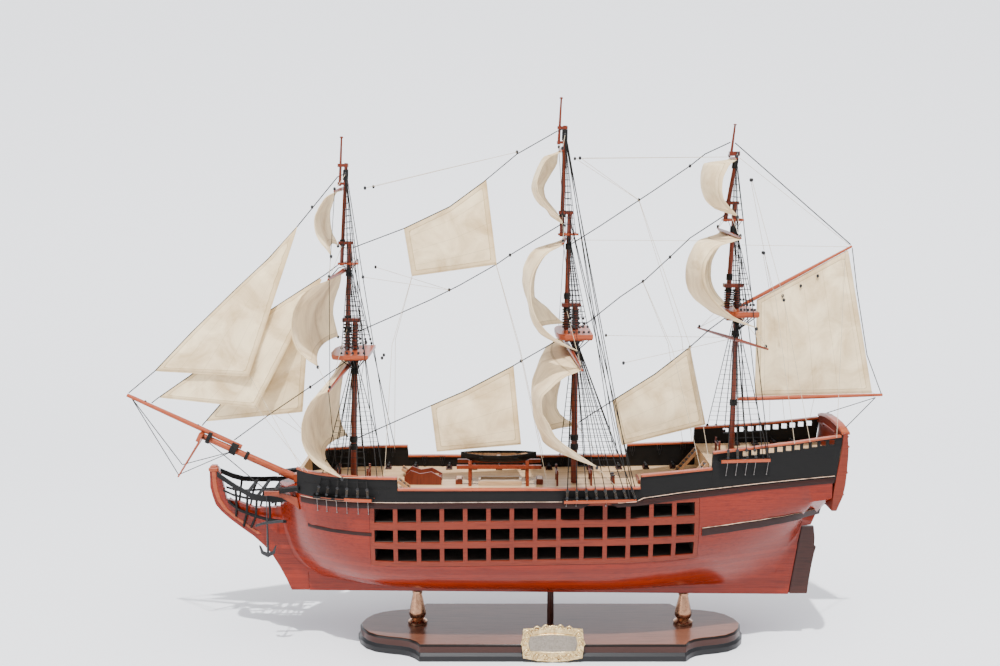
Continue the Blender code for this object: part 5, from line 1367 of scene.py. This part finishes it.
# %% Running lines and blocks
pale = []
blocks = [(-37.4, 0.0, 527.2), (-44.5, 0.0, 420.6), (141.8, 0.0, 512.9), (123.0, 0.0, 418.5),
          (-32.7, 0.0, 308.2), (146.0, 0.0, 323.2), (-108.4, 0.0, 384.0), (89.5, 0.0, 478.0),
          (95.1, 0.0, 393.0), (-250.6, 0.0, 470.5), (-256.8, 0.0, 280.2), (-432.6, 0.0, 264.0),
          (-377.3, 0.0, 238.0)]
for sign in (-1.0, 1.0):
    pale += [
        [(-190.7, sign * 40.0, 490.9), (-116.2, sign * 20.0, 508.8), (-37.5, sign * 0.8, 527.1)],
        [(-191.8, sign * 60.0, 403.0), (-108.4, sign * 1.0, 383.8)],
        [(-147.1, sign * 2.0, 398.8), (-167.4, sign * 20.0, 328.4), (-173.2, sign * 58.0, 199.0)],
        [(-59.2, sign * 4.0, 411.0), (-34.2, sign * 24.0, 321.6), (-6.0, sign * 60.0, 188.0)],
        [(25.1, sign * 40.0, 520.7), (180.5, sign * 2.0, 522.1)],
        [(27.3, sign * 38.0, 519.7), (89.5, sign * 1.0, 477.6), (141.5, sign * 28.0, 328.5),
         (160.0, sign * 59.0, 206.5)],
        [(95.1, sign * 1.0, 392.6), (125.0, sign * 14.0, 324.3), (150.0, sign * 59.5, 206.0)],
        [(65.7, sign * 96.0, 322.0), (191.0, sign * 3.0, 333.0)],
        [(205.8, sign * 3.0, 498.5), (237.5, sign * 26.0, 376.1), (262.0, sign * 55.0, 233.6)],
        [(220.6, sign * 3.0, 422.9), (232.6, sign * 12.0, 374.6), (246.0, sign * 56.5, 232.0)],
        [(-319.0, sign * 9.0, 294.5), (-258.3, sign * 50.0, 201.8)],
        [(-313.0, sign * 8.0, 260.0), (-252.6, sign * 52.0, 201.3)],
        [(306.0, sign * 1.5, 426.0), (290.0, sign * 52.0, 237.2)],
    ]
    blocks += [(-190.7, sign * 40.0, 490.9), (-191.8, sign * 60.0, 403.0), (25.1, sign * 40.0, 520.7),
               (205.8, sign * 3.0, 498.5), (220.6, sign * 3.0, 422.9), (237.5, sign * 26.0, 376.1),
               (65.7, sign * 96.0, 322.0), (277.6, sign * 3.0, 398.9), (260.2, sign * 3.0, 388.4),
               (241.7, sign * 3.0, 377.9), (-179.0, sign * 10.0, 313.1)]
    for row in YARDS:
        end = blend(yard_end(row, sign), yard_line(row)[0], 0.05)
        mast = row[1]
        rise = {"lower": 40.0, "top": 26.0, "gallant": 15.0}[row[2]]
        table = {"lower": TOPMASTS, "top": GALLANTS, "gallant": GALLANTS}[row[2]]
        top_z = min(row[3] + rise, row_of(table, mast)[4] - 1.0)
        head_x, head_r = mast_at(table, mast, top_z)
        pale.append([end, (head_x, sign * (head_r + 0.2), top_z)])
        blocks.append((end[0], end[1], end[2] + 2.2))
        blocks.append((head_x, sign * (head_r + 1.2), top_z))
    for sail in SQUARE_SAILS:
        surface = square_sail_surface(sail)
        clew = surface(0.0 if sign < 0 else 1.0, 1.0)
        mast = row_of(YARDS, sail[1])[1]
        kinds = {"topgallant_sail": "_topsail_yard", "topsail": "_course_yard"}
        kind = next((value for key, value in kinds.items() if sail[0].endswith(key)), None)
        if kind:
            name = "crossjack_yard" if mast + kind == "mizzen_course_yard" else mast + kind
            yard = row_of(YARDS, name)
            pale.append([clew, blend(yard_end(yard, sign), yard_line(yard)[0], 0.03)])
        else:
            x = clew[0] + 22.0
            pale.append([clew, (x, sign * (planking(x, 187.0) - 1.0), rail_top(x) + 0.6)])
        blocks.append((clew[0], clew[1], clew[2] - 1.0))
pale += [[(198.0, 0.0, 431.1), (311.0, 0.0, 429.2)], [(193.0, 0.0, 521.1), (311.5, 0.0, 430.2)],
         [(20.0, 0.0, 436.3), (186.0, 0.0, 435.3)], [(200.0, 0.0, 372.0), (345.0, 0.0, 272.0)]]


def gaff_line(x):
    return 368.0 + (x - GAFF_JAW[0]) * 0.548


pale += [[(x, -1.0, gaff_line(x) - 2.0), (x + 1.5, 0.0, gaff_line(x) + 1.8),
          (x + 2.0, 1.2, gaff_line(x) - 2.0)] for x in steps(222.0, 306.0, 12)]
ropes("running_lines", pale, 0.24, "cotton")
shape = bmesh.new()
for x, y, z in blocks:
    place = Matrix.Translation(mm(x, y, z)) @ Matrix.Diagonal((1.5 * MM, 1.0 * MM, 2.0 * MM, 1.0))
    bmesh.ops.create_uvsphere(shape, u_segments=8, v_segments=6, radius=1.0, matrix=place)
finish_shape("blocks", shape, "iron", angle=80.0)
print("running lines", len(pale), "blocks", len(blocks))

# %% [markdown]
# ## Wales, strakes and the carved beads
# Broad dark strakes stand proud of the planking. They could be painted lines, but their lower
# edges catch the light, so each is swept along the measured side. Each runs under a fine bead
# in lighter wood, whose pale dashes along it are painted highlights. A varnished rim follows
# the top of the stern board, over small turned balusters.

# %% Wales and beads
SUNK = 1.0


def strake(name, line, high, proud, look):
    """A band of wood along both sides, sunk a little way into the planking."""
    for label, sign in SIDES:
        shape = bmesh.new()
        rings = []
        first, last = line[0][0], line[-1][0]
        for x in steps(first, last, max(3, round((last - first) / 9.0))):
            z = table_value(line, x)
            widths = [planking(x, z + high * part) for part in (-0.5, -0.25, 0.0, 0.25, 0.5)]
            low, top = max(widths[:3]), max(widths[2:])
            ring = [(x, top - SUNK, z + high / 2.0), (x, top + proud * 0.75, z + high / 2.0),
                    (x, top + proud, z + high / 2.0 - 0.3), (x, low + proud, z - high / 2.0 + 0.3),
                    (x, low + proud * 0.75, z - high / 2.0), (x, low - SUNK, z - high / 2.0)]
            rings.append(mirrored(ring, sign))
        sweep(shape, rings)
        finish_shape("%s_%s" % (name, label), shape, look)


MAIN_BEAD = ((-262.0, 174.2), (-219.0, 174.2), (-96.0, 174.9), (-18.0, 175.1), (47.0, 175.3),
             (88.0, 178.2), (129.0, 183.0), (212.0, 189.7), (291.0, 195.5))
LOWER_BEAD = ((152.5, 144.9), (214.0, 150.1), (284.0, 155.8))


def below(line, drop):
    return tuple((x, z - drop) for x, z in line)


# name, line along the side as x and z, height, how far it stands out, finish
STRAKES = (
    # The bead finish paints the glints along each bead as pale dashes.
    ("main_bead", MAIN_BEAD, 0.5, 0.9, "bead"),
    ("main_wale", below(MAIN_BEAD, 3.6)[:4] + below(MAIN_BEAD, 4.6)[4:], 5.6, 0.8, "wale_wood"),
    ("lower_bead", LOWER_BEAD, 0.5, 1.1, "bead"),
    ("lower_wale", below(LOWER_BEAD, 4.7), 7.8, 0.9, "wale_wood"),
    ("bow_strake", ((-255.0, 143.0), (-225.0, 141.8), (-186.0, 140.6)), 3.6, 0.6, "wale_wood"),
    ("bow_bead", ((-246.5, 178.7), (-215.0, 178.7), (-182.5, 178.7)), 0.8, 0.2, "rail_wood"),
    ("main_channel_edge", ((9.5, 177.4), (45.0, 177.8), (82.5, 178.4)), 3.0, 0.5, "rail_wood"),
    ("fore_channel_edge", ((-212.5, 178.5), (-200.0, 178.5), (-184.5, 178.5)), 3.0, 0.5, "rail_wood"),
    ("mizzen_channel_edge", ((169.5, 215.7), (195.0, 215.7), (220.5, 215.7)), 3.0, 0.5, "rail_wood"),
    ("bulwark_ledge", ((-258.0, 189.4), (-165.0, 189.0)), 0.7, 0.4, "black_paint"),
)
for row in STRAKES:
    strake(*row)
print("strakes on each side", len(STRAKES))

# %% Rim and balusters of the stern
BOARD = surface_tree("stern_board")


def board_face(y, z):
    return measure(BOARD, (400.0, y, z), FORWARD)[0]


def board_inside(y, z):
    return measure(BOARD, (250.0, y, z), AFT)[0]


def board_top(y):
    return measure(BOARD, (300.7, y, 300.0), DOWN)[2]


rim, balusters = bmesh.new(), bmesh.new()
rings = []
for y in steps(-46.6, 46.6, 24):
    z = board_top(y)
    rings.append([(296.6, y, z - 1.6), (296.6, y, z + 0.7), (297.3, y, z + 1.4), (304.4, y, z + 1.4),
                  (305.1, y, z + 0.7), (305.1, y, z - 1.6)])
sweep(rim, rings)
for y in steps(-42.0, 42.0, 20):
    z = board_top(y)
    x = board_inside(y, z - 9.0) - 1.0
    put_rod(balusters, (x, y, z - 9.0), (x, y, z - 1.4), 0.9, 0.6, 8)
for y0, y1 in ((-44.0, -22.0), (-22.0, 0.0), (0.0, 22.0), (22.0, 44.0)):
    z = board_top((y0 + y1) / 2.0) - 9.6
    x = board_inside((y0 + y1) / 2.0, z)
    put_box(balusters, (x - 2.4, y0, z - 1.0), (x + 0.4, y1, z + 0.8), 0.3)
finish_shape("taffrail_rim", rim, "rail_wood")
finish_shape("stern_balusters", balusters, "frame_wood")
print("stern rim on a board", round(board_top(0.0), 1), "mm high")

# %% [markdown]
# ## Deck furniture
# The deck carries ladders, a companion, posts, rails of pins with coiled lines, hatch rims
# and a row of small black guns on carriages. Each gun could be one cone, but the stepped
# barrel is what the eye knows, so it is stacked from tapered rings on a stepped carriage.

# %% Guns
def put_gun(shape, carriage, x, deck, half, sign, length=13.0, scale=1.0):
    rings = ((0.0, 0.7), (0.6, 1.1), (1.0, 1.75), (1.6, 1.9), (length * 0.35, 1.75),
             (length * 0.36, 1.6), (length * 0.68, 1.35), (length * 0.69, 1.2), (length * 0.94, 0.95),
             (length * 0.97, 1.35), (length, 1.2))
    axis = deck + 4.4 * scale
    start = half - 14.5
    for (a, r0), (b, r1) in zip(rings, rings[1:]):
        put_rod(shape, (x, sign * (start + a), axis), (x, sign * (start + b), axis), r0 * scale,
                r1 * scale, 12)
    for side in (-1.0, 1.0):
        low_y, high_y = sorted((sign * (start - 0.5), sign * (start + 8.5)))
        put_box(carriage, (x + side * 2.2 - 0.5, low_y, deck + 1.0),
                (x + side * 2.2 + 0.5, high_y, deck + 3.9), 0.2)
        for reach in (0.8, 7.0):
            put_rod(carriage, (x + side * 2.5, sign * (start + reach), deck + 1.15),
                    (x + side * 3.6, sign * (start + reach), deck + 1.15), 1.15, 1.15, 10)
    low_y, high_y = sorted((sign * (start - 0.5), sign * (start + 8.0)))
    put_box(carriage, (x - 2.0, low_y, deck + 1.0), (x + 2.0, high_y, deck + 2.0), 0.2)


DECK, POOP = surface_tree("main_deck"), surface_tree("poop_deck")
# deck, scale of its guns, height over the deck where the side is measured, places along x
BATTERIES = (
    (DECK, 1.0, 6.0, (-236.0, -180.0, -150.0, -112.0, -84.0, -56.0, -28.0, 0.0, 46.0, 78.0,
                      108.0, 138.0)),
    (POOP, 0.9, 5.0, (206.0, 226.0, 246.0, 266.0)),
)


def deck_level(x, deck=DECK):
    """Height of a deck, just beside its middle line."""
    return measure(deck, (x, 3.0, 400.0), DOWN)[2]


guns, carriages = bmesh.new(), bmesh.new()
for deck, scale, over, places in BATTERIES:
    for x in places:
        level = deck_level(x, deck)
        for _, sign in SIDES:
            put_gun(guns, carriages, x, level, planking(x, level + over) - 4.5, sign, scale=scale)
finish_shape("gun_barrels", guns, "iron", angle=40.0)
finish_shape("gun_carriages", carriages, "dark_wood", angle=30.0)
print("guns", sum(2 * len(places) for *_, places in BATTERIES))

# %% Ladders, companion, posts and pin rails
pale_parts, dark_parts, red_parts = bmesh.new(), bmesh.new(), bmesh.new()


def put_ladder(low, high, y, wide, treads):
    """Two pale cheeks with dark treads between them, leaning along the ship."""
    (x0, z0), (x1, z1) = low, high
    tilt = Matrix.Rotation(-math.atan2(z1 - z0, x1 - x0), 4, "Y")
    length = math.hypot(x1 - x0, z1 - z0)
    middle = ((x0 + x1) / 2.0, (z0 + z1) / 2.0)
    for side in (-1.0, 1.0):
        put_box(pale_parts, (middle[0] - length / 2.0, y + side * wide / 2.0 - 0.6, middle[1] - 1.6),
                (middle[0] + length / 2.0, y + side * wide / 2.0 + 0.6, middle[1] + 1.6), 0.2, tilt)
    for i in range(treads):
        part = (i + 0.6) / treads
        x, z = x0 + (x1 - x0) * part, z0 + (z1 - z0) * part
        put_box(dark_parts, (x - 1.6, y - wide / 2.0, z - 0.35),
                (x + 1.6, y + wide / 2.0, z + 0.35), 0.15)


poop_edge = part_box("poop_deck")
level = deck_level(140.0)
for y in (-30.0, 30.0):
    put_ladder((139.0, level + 0.6), (161.0, poop_edge[0][2] / MM + 24.0), y, 13.0, 7)
fore_level = deck_level(-150.0)
for y in (-26.0, 26.0):
    put_ladder((-150.0, fore_level + 0.5), (-162.0, fore_level + 9.5), y, 11.0, 3)
for y in (-9.0, 9.0):
    profile = [(-157.0, 0.0), (-157.0, 9.0), (-150.0, 15.5), (-140.0, 12.0), (-128.0, 14.0),
               (-117.5, 8.0), (-117.5, 0.0)]
    low = deck_level(-137.0)
    sweep(red_parts, [[(x, y + thick, low + 0.1 + z) for x, z in profile] for thick in (-1.0, 1.0)])
put_box(red_parts, (-156.0, -9.0, low + 0.1), (-118.0, 9.0, low + 7.5), 0.5)
put_box(pale_parts, (-152.0, -8.0, low + 7.3), (-121.0, 8.0, low + 8.1), 0.2)
for x0, y0, x1, y1 in ((6.0, -13.0, 6.0, 13.0), (42.0, -13.0, 42.0, 13.0), (-228.0, -11.0, -228.0, 11.0),
                       (-196.0, -11.0, -196.0, 11.0), (178.0, -10.0, 178.0, 10.0)):
    base = deck_level(x0, DECK if x0 < 160.0 else POOP)
    for y in (y0, y1):
        put_box(red_parts, (x0 - 1.1, y - 1.1, base), (x0 + 1.1, y + 1.1, base + 15.5), 0.3)
        put_rod(red_parts, (x0, y, base + 15.3), (x0, y, base + 17.2), 0.8, 1.2, 8)
    put_box(red_parts, (x0 - 1.3, y0, base + 12.0), (x0 + 1.3, y1, base + 13.4), 0.3)
    for y in steps(y0 + 3.0, y1 - 3.0, 6):
        put_rod(dark_parts, (x0, y, base + 9.8), (x0, y, base + 15.0), 0.32, 0.5, 6)
for x in (-99.0, -12.5):
    base = deck_level(x)
    put_box(red_parts, (x - 3.6, -7.5, base), (x + 3.6, 7.5, base + 5.4), 0.4)
    put_box(pale_parts, (x - 2.8, -6.6, base + 5.3), (x + 2.8, 6.6, base + 6.0), 0.2)
base = deck_level(108.0)
put_box(red_parts, (92.0, -12.0, base), (124.0, 12.0, base + 4.2), 0.4)
for y in steps(-10.0, 10.0, 7):
    put_box(pale_parts, (93.5, y - 0.5, base + 4.0), (122.5, y + 0.5, base + 4.8), 0.1)
for x in steps(95.0, 121.0, 8):
    put_box(pale_parts, (x - 0.5, -10.8, base + 4.0), (x + 0.5, 10.8, base + 4.8), 0.1)
base = deck_level(70.0)
for y in (-5.0, 5.0):
    put_rod(red_parts, (66.0, y, base), (66.0, y, base + 8.0), 2.2, 1.8, 12)
    put_rod(dark_parts, (66.0, y, base + 8.0), (66.0, y, base + 9.0), 2.4, 2.2, 12)
coils = []
for x in (-246.0, -232.0, -206.0, -192.0, -176.0, -140.0, -120.0, -70.0, -42.0, -14.0, 14.0,
          30.0, 62.0, 94.0, 124.0, 150.0):
    z = rail_top(x) - 5.2 if not -158.9 < x < 88.0 else rail_top(x) - 3.4
    for sign in (-1.0, 1.0):
        y = planking(x, rail_top(x) - 3.0) - 4.2
        for shift in (-2.4, 0.0, 2.4):
            put_rod(dark_parts, (x + shift, sign * (y - 0.8), z - 2.6),
                    (x + shift, sign * (y - 0.8), z + 3.2), 0.3, 0.5, 6)
        ring = []
        for i in range(31):
            angle = 2.0 * math.pi * i / 10.0
            ring.append((x + 0.9 * math.cos(angle), sign * (y - 1.2 - 0.04 * i),
                         z - 4.0 + 3.2 * math.sin(angle)))
        coils.append(ring)
finish_shape("pale_deck_fittings", pale_parts, "pale_wood", angle=30.0)
finish_shape("dark_deck_fittings", dark_parts, "iron", angle=30.0)
finish_shape("red_deck_fittings", red_parts, "mast_wood", angle=30.0)
ropes("coiled_lines", coils, 0.4, "tarred")
print("coils", len(coils))

# %% [markdown]
# ## The head and the anchors
# The stem rises to a squared cap, and its fore edge is a bright strip of varnish. Where the
# knee meets the hull, the solids leave a narrow seam. It could be shown open, but on the
# real model it is closed, so a strip is swept along both measured edges. The beams that
# carry the anchors get a shaped face each.

# %% Stem cap, stem strip and cathead faces
shape = bmesh.new()
put_box(shape, (-367.2, -4.4, 188.5), (-356.5, 4.4, 193.4), 1.2)
put_box(shape, (-365.6, -3.6, 193.0), (-358.0, 3.6, 195.4), 1.0)
finish_shape("stem_cap", shape, "rail_wood", angle=30.0)
STEM = ((-361.5, 189.0), (-361.2, 178.0), (-360.0, 168.0), (-356.5, 157.0), (-350.0, 147.0),
        (-339.0, 137.5), (-327.0, 129.0), (-315.0, 120.0))
# level, forward edge and after edge of the strip that covers the seam at the stem
RABBET = ((77.0, -266.5, -262.4), (80.0, -267.6, -263.0), (86.0, -273.6, -270.6), (92.0, -279.4, -276.8),
          (98.0, -282.2, -280.2), (104.0, -284.8, -283.0), (116.0, -288.4, -287.0),
          (128.0, -290.6, -289.4), (140.0, -291.6, -290.8), (150.0, -291.6, -290.8))
shape = bmesh.new()
sweep(shape, [[(fore - 0.9, -3.25, z), (aft + 0.9, -3.25, z), (aft + 0.9, 3.25, z), (fore - 0.9, 3.25, z)]
              for z, fore, aft in RABBET])
finish_shape("bow_rabbet", shape, "hull_wood", angle=50.0)
for label, sign in SIDES:
    shape = bmesh.new()
    rings = [mirrored([(x - 2.4, 2.6, z), (x - 2.0, 3.9, z), (x + 2.0, 3.9, z), (x + 2.6, 2.6, z)], sign)
             for x, z in STEM]
    sweep(shape, rings)
    finish_shape("stem_strip_" + label, shape, "rail_wood")
    shape = bmesh.new()
    low_y, high_y = sorted((sign * 45.2, sign * 46.4))
    put_box(shape, (-299.5, low_y, 174.2), (-284.0, high_y, 179.2), 0.4)
    sweep(shape, [[(-296.0, sign * y, 173.8), (-281.0, sign * y, 175.6), (-266.0, sign * y, 171.0),
                   (-264.0, sign * y, 158.0), (-270.0, sign * y, 163.5), (-282.0, sign * y, 171.0)]
                  for y in (38.5, 42.5)])
    finish_shape("cathead_face_" + label, shape, "spar_wood", angle=30.0)
print("head done")

# %% [markdown]
# ## The stern face
# A cabin stern has a row of windows between heavy mouldings. They could be painted on the
# board, but frames that stand out make the face read as joinery, so each window is a pane
# with four bars, set on the measured board.

# %% Stern windows and mouldings
panes, bars = bmesh.new(), bmesh.new()
for low_z, high_z, count, width in ((204.0, 219.0, 5, 11.0), (181.0, 193.0, 6, 8.0)):
    for y in steps(-33.0, 33.0, count - 1):
        low_x, high_x = board_face(y, low_z), board_face(y, high_z)
        half = width / 2.0
        corners = ((-0.3, -half), (0.5, -half), (0.5, half), (-0.3, half))
        sweep(panes, [[(x + out, y + across, z) for out, across in corners]
                      for x, z in ((low_x, low_z), (high_x, high_z))])
        for i in range(4):
            across = y + width * (i / 3.0 - 0.5)
            put_rod(bars, (low_x + 0.6, across, low_z - 0.6),
                    (high_x + 0.6, across, high_z + 0.6), 0.55, 0.55, 6)
        for i in range(4):
            z = low_z + (high_z - low_z) * i / 3.0
            x = low_x + (high_x - low_x) * i / 3.0 + 0.6
            put_rod(bars, (x, y - width / 2.0 - 0.5, z), (x, y + width / 2.0 + 0.5, z), 0.55, 0.55, 6)
finish_shape("stern_panes", panes, "black_paint", angle=30.0)
finish_shape("stern_window_bars", bars, "rail_wood", angle=50.0)
shape = bmesh.new()
for z, reach, high in ((226.0, 45.5, 2.0), (198.5, 45.0, 2.4), (175.0, 44.5, 2.0), (236.5, 45.5, 1.4)):
    rings = []
    for y in steps(-reach, reach, 6):
        x = board_face(y, z)
        rings.append([(x - 0.4, y, z - high / 2.0), (x + 1.0, y, z - high / 2.0), (x + 1.6, y, z),
                      (x + 1.0, y, z + high / 2.0), (x - 0.4, y, z + high / 2.0)])
    sweep(shape, rings)
finish_shape("stern_mouldings", shape, "rail_wood")
print("stern face dressed")

# %% [markdown]
# ## How large the dressed model is
# The dressed model must keep the size of the measured solids, so both boxes are kept side
# by side. Only the cloth may stand a little proud of them.

dressed_box = [list(corner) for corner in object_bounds()]
grown = [round((abs(b - a)) * 1000.0, 2) for low, high in zip(cad_box, dressed_box)
         for a, b in zip(low, high)]
triangles = sum(len(polygon.vertices) - 2 for piece in bpy.data.objects if piece.type == "MESH"
                for polygon in piece.data.polygons)
print("each side differs by", grown, "mm, triangles before modifiers", triangles)
